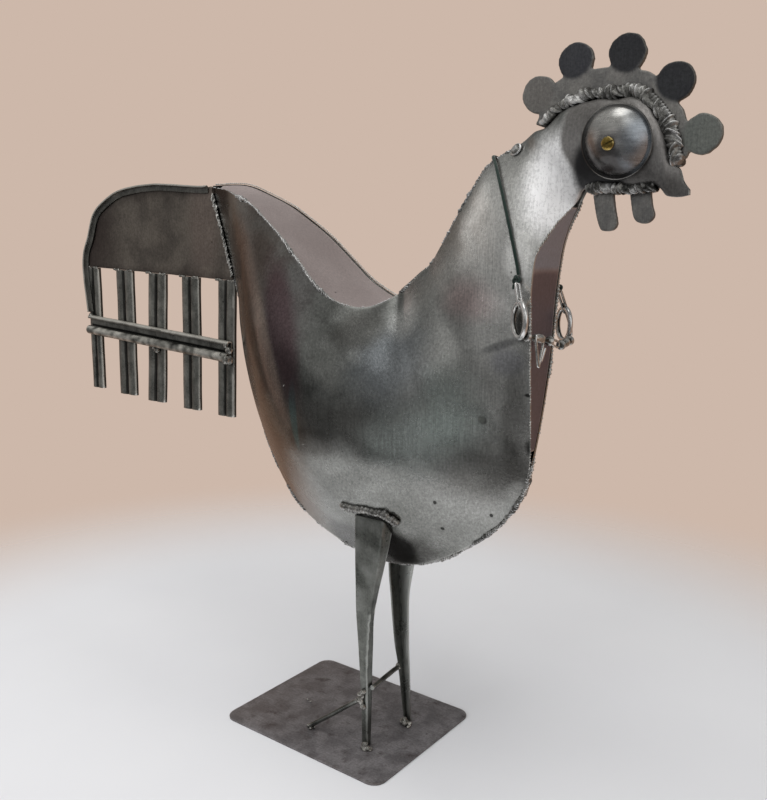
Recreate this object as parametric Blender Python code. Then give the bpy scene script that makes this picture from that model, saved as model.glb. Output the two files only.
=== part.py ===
"""A rooster cut from sheet steel and welded together, standing on a flat base plate.

The bird faces +X, its right side faces -Y and +Z is up. The origin is on the base plate's underside, in
the bird's middle plane and 1.4 mm ahead of the plate's middle. Sizes are in millimetres until a mesh is
made, and a pair of numbers is a place (x, z) on the bird's middle plane unless its name says otherwise.
"""

import math

import bpy
from mathutils import Vector

MM = 0.001
GAP = 0.3

# Base plate
PLATE_LENGTH = 138.0
PLATE_WIDTH = 112.0
PLATE_THICKNESS = 1.5
PLATE_CENTRE = (-1.4, 1.0)
PLATE_CORNER = 9.0

# Body sheets
SHEET = 1.2
SEAM_GAP = 0.15
SEAM_HALF = 0.6
RIB_SPACING = 17.0
RIB_COLUMNS = 7
SWELL_LIFT = 0.35
SADDLE_LEANS = [(-103.0, 2.4, 22.0), (20.0, 2.3, 30.0)]

# Each rib of a side sheet: back edge x, z and half-width, front edge x, z and half-width, and its swell.
BODY_RIBS = [
    (-129.8, 375.9, 0.6, -129.0, 372.5, 0.6, 0.0),
    (-105.0, 374.3, 10.0, -117.0, 337.5, 0.6, 1.5),
    (-87.0, 368.4, 17.0, -106.0, 301.5, 0.6, 5.0),
    (-70.0, 361.5, 21.0, -98.0, 266.5, 0.6, 10.5),
    (-54.0, 351.5, 24.0, -90.0, 226.5, 0.6, 18.0),
    (-37.0, 339.5, 26.5, -74.0, 186.5, 0.6, 26.0),
    (-20.0, 324.5, 28.5, -47.0, 151.5, 0.6, 32.0),
    (-3.0, 309.5, 29.5, -10.0, 132.5, 0.6, 33.5),
    (14.0, 300.5, 27.0, 34.0, 125.0, 0.6, 33.0),
    (30.0, 298.5, 17.0, 75.0, 135.5, 0.6, 30.5),
    (42.5, 306.5, 0.6, 115.0, 164.5, 0.6, 27.0),
    (56.0, 317.5, 0.6, 133.5, 190.5, 0.6, 22.0),
]
NECK_RIBS = [
    (64.0, 323.0, 0.6, 137.6, 210.5, 2.6, 17.0),
    (69.6, 331.3, 0.6, 139.6, 238.5, 8.2, 12.5),
    (76.6, 341.6, 0.6, 140.8, 268.5, 13.2, 8.5),
    (83.4, 352.8, 0.6, 141.2, 290.5, 15.2, 7.0),
    (89.5, 361.5, 0.6, 141.4, 308.5, 17.0, 6.5),
    (97.6, 373.5, 0.6, 143.4, 327.5, 17.2, 6.5),
    (107.5, 382.4, 0.6, 147.0, 337.3, 13.6, 7.0),
    (117.6, 386.9, 0.6, 152.2, 346.9, 9.3, 7.5),
    (125.0, 391.1, 0.6, 157.4, 353.8, 5.3, 8.0),
]
HEAD_RIBS = [
    (132.5, 395.7, 1.9, 160.8, 359.1, 2.6, 8.0),
    (140.5, 397.8, 3.1, 163.0, 363.3, 2.8, 7.7),
    (149.0, 405.0, 3.1, 167.5, 366.1, 3.1, 7.7),
    (157.7, 407.8, 3.1, 172.5, 366.4, 3.1, 7.7),
    (169.6, 409.5, 3.1, 178.5, 366.3, 3.1, 7.7),
    (178.1, 408.7, 3.1, 184.0, 365.5, 3.1, 7.7),
    (189.3, 408.7, 3.1, 190.5, 364.8, 3.1, 7.7),
    (196.3, 403.5, 3.1, 196.0, 365.2, 3.1, 6.9),
    (202.9, 393.7, 3.1, 200.8, 365.7, 3.1, 5.4),
    (206.3, 384.9, 3.1, 204.6, 363.1, 2.8, 4.0),
    (208.8, 375.8, 3.1, 207.4, 359.7, 2.2, 2.6),
    (213.0, 372.4, 1.4, 210.5, 358.9, 1.6, 1.5),
    (215.3, 366.5, 1.0, 214.5, 358.9, 1.2, 0.7),
    (218.6, 362.1, 1.0, 218.7, 359.7, 1.0, 0.0),
]
# How full a rib's arch is: over 1 it flattens towards its edges, under 1 it is full like a cheek.
BODY_ARCH = 1.15
NECK_ARCH = 1.0
HEAD_ARCH = 0.55

# Back and breast sheets lie just inside the side sheets' edges.
INSET_SIDE = 1.75
INSET_DEPTH = 0.55
LEAST_HALF_WIDTH = 1.0
STRIP_SPACING = 10.0

# Comb plate: outer edge of its band, and the middle of the weld bead that its band rises from
COMB_THICKNESS = 3.0
COMB_BAND = [(132.0, 399.7), (143.0, 420.1), (168.9, 425.4), (195.2, 420.1), (212.5, 401.3),
             (216.6, 377.8)]
COMB_LOBE_RADIUS = 9.9
COMB_LOBES = [(133.7, 415.3), (154.7, 430.0), (182.5, 431.1), (208.1, 414.4), (223.1, 388.6)]
CROWN_BEAD = [(138.0, 400.8), (147.1, 408.4), (156.8, 411.6), (169.5, 413.4), (178.3, 412.6),
              (190.5, 412.4), (199.1, 406.2), (206.4, 395.5), (210.0, 386.1), (212.6, 376.8)]
COMB_ROOT = 6.5

# Wattles: two tongues whose roots stand between the head's sheets
WATTLE_ROOT_Z = 366.5
WATTLE_REAR = [(168.0, 360.1), (170.2, 350.1), (172.8, 343.3), (175.7, 342.1), (180.1, 342.7),
               (182.1, 345.8), (180.6, 353.1), (179.4, 360.1)]
WATTLE_FRONT = [(188.2, 360.1), (190.6, 349.3), (194.0, 346.2), (198.8, 346.2), (201.7, 349.6),
                (200.3, 354.7), (199.4, 360.1)]
THROAT_BEAD = [(166.5, 362.1), (176.0, 362.8), (189.4, 361.3), (200.6, 361.9)]

# Eye domes and their screws
EYE_X = 183.6
EYE_Z = 386.4
EYE_BASE_Y = 11.3
EYE_RADIUS = 18.9
EYE_HEIGHT = 10.6
EYE_WALL = 1.0
EYE_LIP = 1.4
EYE_HOLE_RADIUS = 2.2
EYE_TILT = math.radians(10.0)
EYE_SEGMENTS = 20
EYE_STEPS = 4
SCREW_HEAD_RADIUS = 3.3
SCREW_HEAD_HEIGHT = 1.8
SCREW_SHANK_RADIUS = 1.6
SCREW_SHANK_LENGTH = 5.0
SCREW_SLOT = 0.9

# Tail
TAIL_SHEET = 2.0
TAIL_RIM = [(-133.5, 376.8), (-143.4, 376.9), (-188.2, 380.1), (-220.4, 379.0), (-245.4, 374.3),
            (-270.9, 360.5), (-282.0, 339.8), (-290.6, 317.9), (-286.6, 276.5)]
TAIL_RIM_WIDTH = 6.0
TAIL_RIM_THICKNESS = 2.0
TAIL_BOTTOM_LEFT = (-288.4, 315.0)
TAIL_BOTTOM_RIGHT = (-108.9, 307.9)
TAIL_TOP_RIGHT = (-130.6, 376.5)
SLAT_TOPS_X = [(-288.5, -273.4), (-249.2, -227.9), (-207.3, -186.2), (-167.0, -147.4), (-126.2, -108.4)]
SLAT_BOTTOMS_Z = [211.3, 209.6, 207.7, 206.3, 205.5]
SLAT_LEANS = [0.0, -1.2, -6.3, -3.0, -3.8]
SLAT_EDGE_Y = -1.0
SLAT_FOLD_Y = 4.0
SLAT_THICKNESS = 1.5
BAR_LEFT = (-283.2, 258.4)
BAR_RIGHT = (-111.5, 247.5)
BAR_ROLL_RADIUS = 3.7
BAR_HEIGHT = 16.0
BAR_LIP = 2.0

# Legs: height, outer face y, free edge x, fold x and depth of the return
LEG_SHEET = 1.5
RIGHT_LEG = [
    (1.8, -24.0, 31.2, 35.4, 4.4),
    (33.5, -24.6, 30.6, 35.7, 5.4),
    (68.5, -25.2, 28.8, 36.0, 6.5),
    (98.5, -25.8, 26.9, 38.9, 5.2),
    (136.5, -26.5, 26.6, 46.6, 7.8),
    (164.1, -27.0, 26.9, 50.2, 9.0),
]
LEFT_LEG = [
    (1.8, 21.5, 39.7, 35.4, 3.5),
    (41.5, 21.5, 37.8, 31.8, 5.5),
    (63.9, 21.5, 36.9, 30.0, 8.5),
    (94.1, 21.5, 36.6, 28.2, 10.5),
    (116.5, 21.5, 40.0, 26.8, 11.5),
    (154.7, 21.5, 45.0, 26.6, 12.0),
]
RIGHT_LEG_TOP_SLOPE = 1.25
LEFT_LEG_TOP_SLOPE = 1.45
ROD_DIAMETER = 2.8
CROSS_ROD = [(37.8, -22.0, 44.5), (32.4, 15.2, 43.1)]
STRUT = [(-10.8, -29.5, 3.1), (28.7, -24.9, 33.8)]

# Small stud on the neck
BUTTON_CENTRE = (122.2, -3.4, 386.8)
BUTTON_OUTWARD = (-0.30, -0.86, 0.42)
BUTTON_RADIUS = 3.7
BUTTON_HEIGHT = 2.4

# Necklace: the cord runs from the right knot over the back of the neck to the left knot.
CORD_DIAMETER = 2.0
CORD_POINT_SPACING = 4.4
CORD_ROUTE = [
    (134.9, -19.5, 318.5), (133.9, -19.4, 323.5), (132.4, -19.3, 329.0), (130.9, -19.2, 334.6),
    (129.6, -19.0, 338.6), (128.4, -18.7, 342.7), (126.8, -18.1, 346.9), (125.3, -17.3, 351.0),
    (123.6, -16.4, 355.1), (121.9, -15.4, 359.3), (120.0, -14.1, 363.5), (117.9, -12.7, 367.8),
    (115.6, -10.8, 372.1), (113.0, -8.5, 376.5), (111.2, -6.6, 379.0), (109.4, -4.8, 381.2),
    (107.9, -3.4, 382.8), (106.8, -1.9, 383.8),
    (106.5, 0.0, 384.1),
    (106.8, 1.9, 383.8), (107.9, 3.4, 382.8), (109.4, 4.8, 381.2), (111.2, 6.6, 379.0),
    (113.0, 8.5, 376.5), (115.4, 10.8, 372.1), (117.7, 12.7, 367.7), (119.9, 14.2, 363.1),
    (122.1, 15.6, 358.5), (124.3, 16.9, 353.5), (126.6, 18.0, 348.0), (128.8, 18.8, 342.4),
    (131.0, 19.2, 336.5), (133.1, 19.3, 330.5), (135.2, 19.3, 324.5), (137.3, 19.3, 318.5),
    (139.2, 19.2, 312.9),
]
KNOT_RADIUS = 2.2
RIGHT_KNOT = (134.1, -19.9, 315.7)
LEFT_KNOT = (140.2, 19.6, 310.4)

# The jointed bit that hangs from the cord
RING_RADIUS = 9.4
RING_WIRE = 2.2
RING_SIDEWAYS = (0.74, -0.67, 0.0)
RIGHT_RING = (140.3, -26.5, 294.5)
LEFT_RING = (141.6, 26.0, 289.3)
LINK_WIRE = 1.2
HANGER_WIDTH = 6.4
HANGER_SLACK = 0.6
MOUTH_BALL_RADIUS = 1.9
MOUTH_WAIST_RADIUS = 0.9
RIGHT_MOUTH = [(144.9, -28.5, 286.5), (150.1, -6.6, 282.1)]
LEFT_MOUTH = [(150.1, 3.8, 278.9), (148.4, 21.5, 280.7)]
CENTRE_LINK = [(150.1, -6.1, 281.9), (150.1, 3.3, 279.1)]
CENTRE_LINK_WIDTH = 4.6
DROP_LINK = [(147.9, -17.0, 282.3), (147.9, -17.0, 270.1)]
DROP_LINK_WIDTH = 6.0

# Weld beads
BEAD_WIDTH = 7.0
BEAD_HEIGHT = 3.8
BEAD_SPACING = 4.4
BEAD_SIDES = 4
BEAD_LEAST_TAPER = 0.12
RIPPLE_PITCH = 11.0
RIPPLE = 0.12
THROAT_BEAD_WIDTH = 6.4
TAIL_BEAD_WIDTH = 4.6
TAIL_BEAD_HEIGHT = 2.2
TAIL_BEAD_BEHIND = 3.2
LEG_BEAD_WIDTH = 7.0
LEG_BEAD_HEIGHT = 5.0
RIGHT_LEG_BEAD = [(19.5, -29.0, 167.8), (34.0, -28.7, 168.1), (46.0, -27.2, 168.6),
                  (51.0, -26.2, 168.4), (57.5, -22.8, 165.8)]
LEFT_LEG_BEAD = [(21.0, 23.0, 158.9), (33.0, 22.8, 159.0), (44.0, 21.8, 159.6), (50.0, 20.5, 159.4)]
LEG_BEAD_OUTWARD_Z = -0.65
FOOT_BEAD_WIDTH = 5.0
FOOT_BEAD_HEIGHT = 3.6
FOOT_BEAD_STEPS = (-3.6, -2.2, 0.0, 2.2, 3.6)
RIGHT_FOOT_BEAD = (36.6, -27.1)
LEFT_FOOT_BEAD = (39.0, 14.3)


def clear_scene():
    """Removes every object that the scene starts with."""
    for old in list(bpy.data.objects):
        bpy.data.objects.remove(old, do_unlink=True)


def make_material(name, colour, roughness, metallic=1.0):
    """A plain Principled material of one colour."""
    material = bpy.data.materials.new(name)
    material.use_nodes = True
    shader = material.node_tree.nodes["Principled BSDF"]
    shader.inputs["Base Color"].default_value = (*colour, 1.0)
    shader.inputs["Roughness"].default_value = roughness
    shader.inputs["Metallic"].default_value = metallic
    return material


def make_object(name, points, faces, material, smooth_angle=None):
    """A mesh object from points in millimetres, with its faces turned outwards."""
    mesh = bpy.data.meshes.new(name)
    mesh.from_pydata([Vector(p) * MM for p in points], [], faces)
    volume = 0.0
    for face in faces:
        anchor = Vector(points[face[0]])
        for k in range(1, len(face) - 1):
            volume += anchor.dot(Vector(points[face[k]]).cross(Vector(points[face[k + 1]])))
    if volume < 0:
        mesh.flip_normals()
    mesh.materials.append(material)
    if smooth_angle is not None:
        mesh.shade_smooth()
        mesh.set_sharp_from_angle(angle=math.radians(smooth_angle))
    obj = bpy.data.objects.new(name, mesh)
    bpy.context.scene.collection.objects.link(obj)
    return obj


def curve_point(knots, t):
    """The point at t on a smooth curve through knots, with one unit of t from each knot to the next."""
    last = len(knots) - 1
    i = min(int(t), last - 1)
    f = t - i
    before = knots[i - 1] if i > 0 else [2 * a - b for a, b in zip(knots[0], knots[1])]
    after = knots[i + 2] if i + 2 <= last else [2 * a - b for a, b in zip(knots[last], knots[last - 1])]
    point = []
    for a, b, c, d in zip(before, knots[i], knots[i + 1], after):
        bend = (2 * a - 5 * b + 4 * c - d) * f * f + (3 * b - a - 3 * c + d) * f**3
        point.append(0.5 * (2 * b + (c - a) * f + bend))
    return tuple(point)


def even_points(knots, spacing):
    """Points along the smooth curve through knots, about spacing apart."""
    steps = 24
    dense = [curve_point(knots, k / steps) for k in range(steps * (len(knots) - 1) + 1)]
    reach = [0.0]
    for a, b in zip(dense, dense[1:]):
        reach.append(reach[-1] + math.dist(a, b))
    count = max(2, round(reach[-1] / spacing))
    points = [dense[0]]
    k = 0
    for n in range(1, count):
        wanted = reach[-1] * n / count
        while reach[k + 1] < wanted:
            k += 1
        f = (wanted - reach[k]) / (reach[k + 1] - reach[k])
        points.append(tuple(a + (b - a) * f for a, b in zip(dense[k], dense[k + 1])))
    points.append(dense[-1])
    return points


def beside(path, distance):
    """A flat path moved sideways, to the right of its direction."""
    moved = []
    for k, (x, z) in enumerate(path):
        ax, az = path[max(k - 1, 0)]
        bx, bz = path[min(k + 1, len(path) - 1)]
        length = math.hypot(bx - ax, bz - az)
        moved.append((x + (bz - az) / length * distance, z - (bx - ax) / length * distance))
    return moved


def loft(name, rings, material, closed=False, smooth_angle=None):
    """A solid through rings of equal length. It has end caps unless closed joins the last to the first."""
    count = len(rings[0])
    points = [p for ring in rings for p in ring]
    faces = []
    for r in range(len(rings) if closed else len(rings) - 1):
        here = r * count
        there = (r + 1) % len(rings) * count
        for k in range(count):
            n = (k + 1) % count
            faces.append((here + k, here + n, there + n, there + k))
    if not closed:
        faces.append(tuple(range(count - 1, -1, -1)))
        faces.append(tuple(range(len(points) - count, len(points))))
    return make_object(name, points, faces, material, smooth_angle)


def plate(name, outline, y_low, y_high, material):
    """A flat plate in the bird's middle plane, cut to outline, from y_low to y_high."""
    rings = [[(x, y, z) for x, z in outline] for y in (y_low, y_high)]
    return loft(name, rings, material)


def round_wire(name, path, diameter, sides, material, closed=False):
    """A round wire along path."""
    rings = []
    count = len(path)
    side = None
    for k, p in enumerate(path):
        before = path[(k - 1) % count] if closed else path[max(k - 1, 0)]
        after = path[(k + 1) % count] if closed else path[min(k + 1, count - 1)]
        along = (Vector(after) - Vector(before)).normalized()
        if side is None:
            side = along.orthogonal()
        side = (side - along * side.dot(along)).normalized()
        up = along.cross(side)
        ring = []
        for s in range(sides):
            angle = 2 * math.pi * s / sides
            offset = side * math.cos(angle) + up * math.sin(angle)
            ring.append(tuple(Vector(p) + offset * diameter / 2))
        rings.append(ring)
    return loft(name, rings, material, closed, smooth_angle=60)


def turned(name, profile, centre, axis, segments, material):
    """A ring-shaped solid turned about axis through centre, from a closed profile of (radius, height)."""
    axis = Vector(axis).normalized()
    side = axis.orthogonal().normalized()
    up = axis.cross(side)
    rings = []
    for s in range(segments):
        angle = 2 * math.pi * s / segments
        out = side * math.cos(angle) + up * math.sin(angle)
        rings.append([tuple(Vector(centre) + out * r + axis * h) for r, h in profile])
    return loft(name, rings, material, closed=True, smooth_angle=40)


def bead(name, path, outward, width, height, material):
    """A weld bead: a half-round ripple of metal along path, standing out from it, with round ends."""
    outward = Vector(outward).normalized()
    reach = [0.0]
    for a, b in zip(path, path[1:]):
        reach.append(reach[-1] + math.dist(a, b))
    rings = []
    for k, p in enumerate(path):
        along = Vector(path[min(k + 1, len(path) - 1)]) - Vector(path[max(k - 1, 0)])
        side = along.cross(outward).normalized()
        end = min(reach[k], reach[-1] - reach[k]) / (width / 2)
        taper = math.sqrt(max(BEAD_LEAST_TAPER, 1 - (1 - min(end, 1)) ** 2))
        swell = taper * (1 + RIPPLE * math.sin(2 * math.pi * reach[k] / RIPPLE_PITCH))
        ring = []
        for s in range(BEAD_SIDES + 1):
            angle = math.pi * s / BEAD_SIDES
            across = side * math.cos(angle) * width / 2 * taper
            rise = outward * math.sin(angle) * height * swell
            ring.append(tuple(Vector(p) + across + rise))
        rings.append(ring)
    return loft(name, rings, material, smooth_angle=50)


def shell(name, outer, inner, material):
    """A closed sheet between two grids of points of equal size."""
    rows = len(outer)
    columns = len(outer[0])
    points = [p for row in outer for p in row] + [p for row in inner for p in row]
    back = rows * columns
    faces = []
    for i in range(rows - 1):
        for j in range(columns - 1):
            a, b = i * columns + j, (i + 1) * columns + j
            faces.append((a, a + 1, b + 1, b))
            faces.append((back + a, back + b, back + b + 1, back + a + 1))
    border = list(range(columns))
    border += [i * columns + columns - 1 for i in range(1, rows)]
    border += [(rows - 1) * columns + j for j in range(columns - 2, -1, -1)]
    border += [i * columns for i in range(rows - 2, 0, -1)]
    for a, b in zip(border, border[1:] + border[:1]):
        faces.append((b, a, back + a, back + b))
    return make_object(name, points, faces, material, smooth_angle=35)


def grid_normals(grid):
    """Unit normals at each point of a grid, each on the side that rows cross columns gives."""
    normals = []
    for i, row in enumerate(grid):
        line = []
        for j in range(len(row)):
            down = Vector(grid[min(i + 1, len(grid) - 1)][j]) - Vector(grid[max(i - 1, 0)][j])
            over = Vector(row[min(j + 1, len(row) - 1)]) - Vector(row[max(j - 1, 0)])
            line.append(down.cross(over).normalized())
        normals.append(line)
    return normals


def side_ribs():
    """All ribs of a side sheet from tail to beak, each with its arch, about RIB_SPACING apart."""
    knots = [(*rib, BODY_ARCH) for rib in BODY_RIBS]
    knots += [(*rib, NECK_ARCH) for rib in NECK_RIBS]
    knots += [(*rib, HEAD_ARCH) for rib in HEAD_RIBS]
    ribs = []
    for k in range(len(knots) - 1):
        ribs.append(knots[k])
        here, there = knots[k], knots[k + 1]
        apart = max(math.dist(here[0:2], there[0:2]), math.dist(here[3:5], there[3:5]))
        extra = round(apart / RIB_SPACING) - 1
        ribs += [curve_point(knots, k + (n + 1) / (extra + 1)) for n in range(extra)]
    ribs.append(knots[-1])
    return ribs


def saddle_lean(x):
    """How far the seams beside the saddle are out of level at x: down on the right, up on the left."""
    lean = 0.0
    for middle, height, reach in SADDLE_LEANS:
        lean += height * math.exp(-((x - middle) / reach) ** 2)
    return lean


def side_grid(side):
    """A side sheet's outer face as a grid of points. Side is -1 for the right sheet, 1 for the left."""
    grid = []
    for back_x, back_z, back_half, front_x, front_z, front_half, swell, arch in side_ribs():
        row = []
        for j in range(RIB_COLUMNS + 1):
            v = j / RIB_COLUMNS
            hump = (4 * v * (1 - v)) ** arch * (1 + SWELL_LIFT * (0.5 - v))
            edge = max(back_half, SEAM_HALF) * (1 - v) + max(front_half, SEAM_HALF) * v
            half = edge + max(swell, 0) * hump
            lean = side * saddle_lean(back_x) * (1 - v)
            z = back_z + (front_z - back_z) * v + lean
            row.append((back_x + (front_x - back_x) * v, side * half, z))
        grid.append(row)
    return grid


def side_sheet(name, side, material):
    """One dished side sheet of true thickness, with its inner face kept off the middle plane."""
    outer = side_grid(side)
    inner = []
    for row, normals in zip(outer, grid_normals(outer)):
        line = []
        for p, normal in zip(row, normals):
            outward = normal if normal.y * side > 0 else -normal
            x, y, z = Vector(p) - outward * SHEET
            line.append((x, side * max(side * y, SEAM_GAP), z))
        inner.append(line)
    return shell(name, outer, inner, material)


def strip_between(name, edges, facing, material):
    """A sheet between the two side sheets, from edges (x, z, half-width, lean), lying just inside them."""
    kept = []
    for k, edge in enumerate(edges):
        before, after = edges[max(k - 1, 0)], edges[min(k + 1, len(edges) - 1)]
        slope = (after[2] - before[2]) / math.dist(before[0:2], after[0:2])
        half = edge[2] - INSET_SIDE * math.hypot(1, slope)
        if half > LEAST_HALF_WIDTH:
            kept.append((edge[0], edge[1], half, edge[3]))
    spots = (-1.0, 0.0, 1.0)
    grids = []
    for depth in (INSET_DEPTH, INSET_DEPTH + SHEET):
        path = beside([edge[0:2] for edge in kept], depth * facing)
        grid = []
        for (x, z), edge in zip(path, kept):
            grid.append([(x, edge[2] * spot, z + edge[3] * spot) for spot in spots])
        grids.append(grid)
    return shell(name, grids[0], grids[1], material)


def circle_crossings(path, centre, radius):
    """The path with each stretch inside the circle replaced by the circle's outer arc."""
    inside = [math.dist(p, centre) < radius for p in path]
    first = inside.index(True)
    last = len(inside) - 1 - inside[::-1].index(True)
    ends = []
    for a, b in ((path[first - 1], path[first]), (path[last + 1], path[last])):
        low, high = 0.0, 1.0
        for _ in range(30):
            middle = (low + high) / 2
            point = (a[0] + (b[0] - a[0]) * middle, a[1] + (b[1] - a[1]) * middle)
            low, high = (middle, high) if math.dist(point, centre) > radius else (low, middle)
        ends.append(math.atan2(point[1] - centre[1], point[0] - centre[0]))
    start, end = ends
    while end >= start:
        end -= 2 * math.pi
    arc = []
    steps = 16
    for k in range(steps + 1):
        angle = start + (end - start) * k / steps
        arc.append((centre[0] + radius * math.cos(angle), centre[1] + radius * math.sin(angle)))
    return path[:first] + arc + path[last + 1:]


def comb_outline():
    """The comb plate's outline: its band with five round lobes, closed by its root between the sheets."""
    edge = even_points(COMB_BAND, 1.0)
    for centre in COMB_LOBES:
        edge = circle_crossings(edge, centre, COMB_LOBE_RADIUS)
    kept = [edge[0]]
    for point in edge[1:]:
        if math.dist(point, kept[-1]) > 3.0:
            kept.append(point)
    root = beside(even_points(CROWN_BEAD, 8.0), COMB_ROOT)
    return kept + root[::-1]


def make_comb(material):
    """The flat comb plate."""
    half = COMB_THICKNESS / 2
    plate("comb_plate", comb_outline(), -half, half, material)


def make_wattles(material):
    """The two flat tongues under the head, with square roots between the head's sheets."""
    half = COMB_THICKNESS / 2
    for name, tongue in (("wattle_rear", WATTLE_REAR), ("wattle_front", WATTLE_FRONT)):
        root = [(tongue[-1][0], WATTLE_ROOT_Z), (tongue[0][0], WATTLE_ROOT_Z)]
        plate(name, even_points(tongue, 2.5) + root, -half, half, material)


def eye_axis(side):
    """The direction that an eye dome faces: outwards and tilted a little down."""
    return Vector((0.0, side * math.cos(EYE_TILT), -math.sin(EYE_TILT)))


def dome_profile(radius, height, steps, hole):
    """An arc of (radius, height) from the dome's rim to its hole, on a sphere that fits its rim and top."""
    sphere = (radius * radius + height * height) / (2 * height)
    start = math.asin(radius / sphere)
    end = math.asin(hole / sphere)
    arc = []
    for k in range(steps + 1):
        angle = start + (end - start) * k / steps
        arc.append((sphere * math.sin(angle), sphere * math.cos(angle) - sphere + height))
    return arc


def make_eyes(dome_metal, brass):
    """A hollow spun dome with a turned lip on each side of the head, held by a slotted pan screw."""
    foot = EYE_RADIUS - EYE_LIP
    outer = dome_profile(foot, EYE_HEIGHT, EYE_STEPS, EYE_HOLE_RADIUS)
    inner = dome_profile(foot - EYE_WALL, EYE_HEIGHT - EYE_WALL, EYE_STEPS, EYE_HOLE_RADIUS)
    lip = [(foot, 0.0), (EYE_RADIUS, 0.0), (EYE_RADIUS, EYE_WALL), (foot, EYE_WALL / 2)]
    profile = inner[::-1] + lip + outer[1:]
    seat = EYE_HEIGHT + GAP
    head = [(SCREW_SHANK_RADIUS, seat), (SCREW_HEAD_RADIUS, seat),
            (SCREW_HEAD_RADIUS, seat + SCREW_HEAD_HEIGHT * 0.5),
            (SCREW_HEAD_RADIUS * 0.7, seat + SCREW_HEAD_HEIGHT * 0.9),
            (0.0, seat + SCREW_HEAD_HEIGHT)]
    screw = [(0.0, seat - SCREW_SHANK_LENGTH), (SCREW_SHANK_RADIUS, seat - SCREW_SHANK_LENGTH)] + head
    for label, side in (("right", -1), ("left", 1)):
        centre = (EYE_X, side * EYE_BASE_Y, EYE_Z)
        axis = eye_axis(side)
        turned(f"{label}_eye_dome", profile, centre, axis, EYE_SEGMENTS, dome_metal)
        body = turned_solid(f"{label}_eye_screw", screw, centre, axis, 16, brass)
        top = Vector(centre) + axis * (seat + SCREW_HEAD_HEIGHT)
        cutter = slot_cutter(f"{label}_eye_slot_cutter", top, axis)
        cut = body.modifiers.new("slot", "BOOLEAN")
        cut.operation = "DIFFERENCE"
        cut.solver = "EXACT"
        cut.object = cutter


def turned_solid(name, profile, centre, axis, segments, material):
    """A solid turned about axis, from a profile that starts and ends on the axis."""
    axis = Vector(axis).normalized()
    side = axis.orthogonal().normalized()
    up = axis.cross(side)
    points = [tuple(Vector(centre) + axis * profile[0][1])]
    for r, h in profile[1:-1]:
        for s in range(segments):
            angle = 2 * math.pi * s / segments
            out = side * math.cos(angle) + up * math.sin(angle)
            points.append(tuple(Vector(centre) + out * r + axis * h))
    points.append(tuple(Vector(centre) + axis * profile[-1][1]))
    top = len(points) - 1
    faces = []
    for s in range(segments):
        n = (s + 1) % segments
        faces.append((0, 1 + n, 1 + s))
        for r in range(len(profile) - 3):
            a = 1 + r * segments
            b = a + segments
            faces.append((a + s, a + n, b + n, b + s))
        last = top - segments
        faces.append((last + s, last + n, top))
    return make_object(name, points, faces, material, smooth_angle=40)


def slot_cutter(name, top, axis):
    """A hidden bar that cuts a screw's slot, level across its head."""
    across = Vector((1.0, 0.0, 0.0))
    down = axis.cross(across)
    points = []
    for h in (-SCREW_SLOT, SCREW_SLOT):
        for a, b in ((-1, -1), (1, -1), (1, 1), (-1, 1)):
            reach = across * a * (SCREW_HEAD_RADIUS + 1) + down * b * SCREW_SLOT / 2
            points.append(tuple(top + axis * h + reach))
    faces = [(3, 2, 1, 0), (4, 5, 6, 7), (0, 1, 5, 4), (1, 2, 6, 5), (2, 3, 7, 6), (3, 0, 4, 7)]
    cutter = make_object(name, points, faces, bpy.data.materials["brass"])
    cutter.hide_render = True
    cutter.display_type = "WIRE"
    return cutter


def tail_bottom_z(x):
    """The height of the tail panel's bottom edge at x."""
    (ax, az), (bx, bz) = TAIL_BOTTOM_LEFT, TAIL_BOTTOM_RIGHT
    return az + (bz - az) * (x - ax) / (bx - ax)


def rear_seam(low_z, high_z, spacing):
    """The rear seam as a flat path between two heights, from the bottom up."""
    seam = [rib[3:5] for rib in BODY_RIBS[5::-1]]
    return [(x, z) for x, z in even_points(seam, spacing) if low_z <= z <= high_z]


def make_tail(material, bright):
    """The tail's panel, rim, five folded slats and cross bar."""
    half = TAIL_SHEET / 2
    rim = even_points(TAIL_RIM, 8.0)
    top_edge = [p for p in beside(rim, -1.0) if p[1] > TAIL_BOTTOM_LEFT[1] + 2.0]
    seam = beside(rear_seam(tail_bottom_z(-109.0) + 1, TAIL_TOP_RIGHT[1] - 5, 12.0), -1.0)
    outline = [TAIL_TOP_RIGHT] + top_edge + [TAIL_BOTTOM_LEFT, TAIL_BOTTOM_RIGHT] + seam
    plate("tail_panel", outline, -half, half, material)

    front = -half - GAP
    back = front - TAIL_RIM_THICKNESS
    inner = beside(rim, -TAIL_RIM_WIDTH)
    rings = []
    for (ox, oz), (ix, iz) in zip(rim, inner):
        rings.append([(ox, front, oz), (ix, front, iz), (ix, back, iz), (ox, back, oz)])
    loft("tail_rim", rings, bright)

    for n, ((left, right), bottom, lean) in enumerate(zip(SLAT_TOPS_X, SLAT_BOTTOMS_Z, SLAT_LEANS), 1):
        middle = (left + right) / 2
        section = [(left, SLAT_EDGE_Y), (middle, SLAT_FOLD_Y), (right, SLAT_EDGE_Y)]
        section += [(x, y + SLAT_THICKNESS) for x, y in section[::-1]]
        low = [(x + lean, y, bottom) for x, y in section]
        high = [(x, y, tail_bottom_z(x) - GAP) for x, y in section]
        loft(f"tail_slat_{n}", [low, high], bright)
    make_cross_bar(bright)


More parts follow.
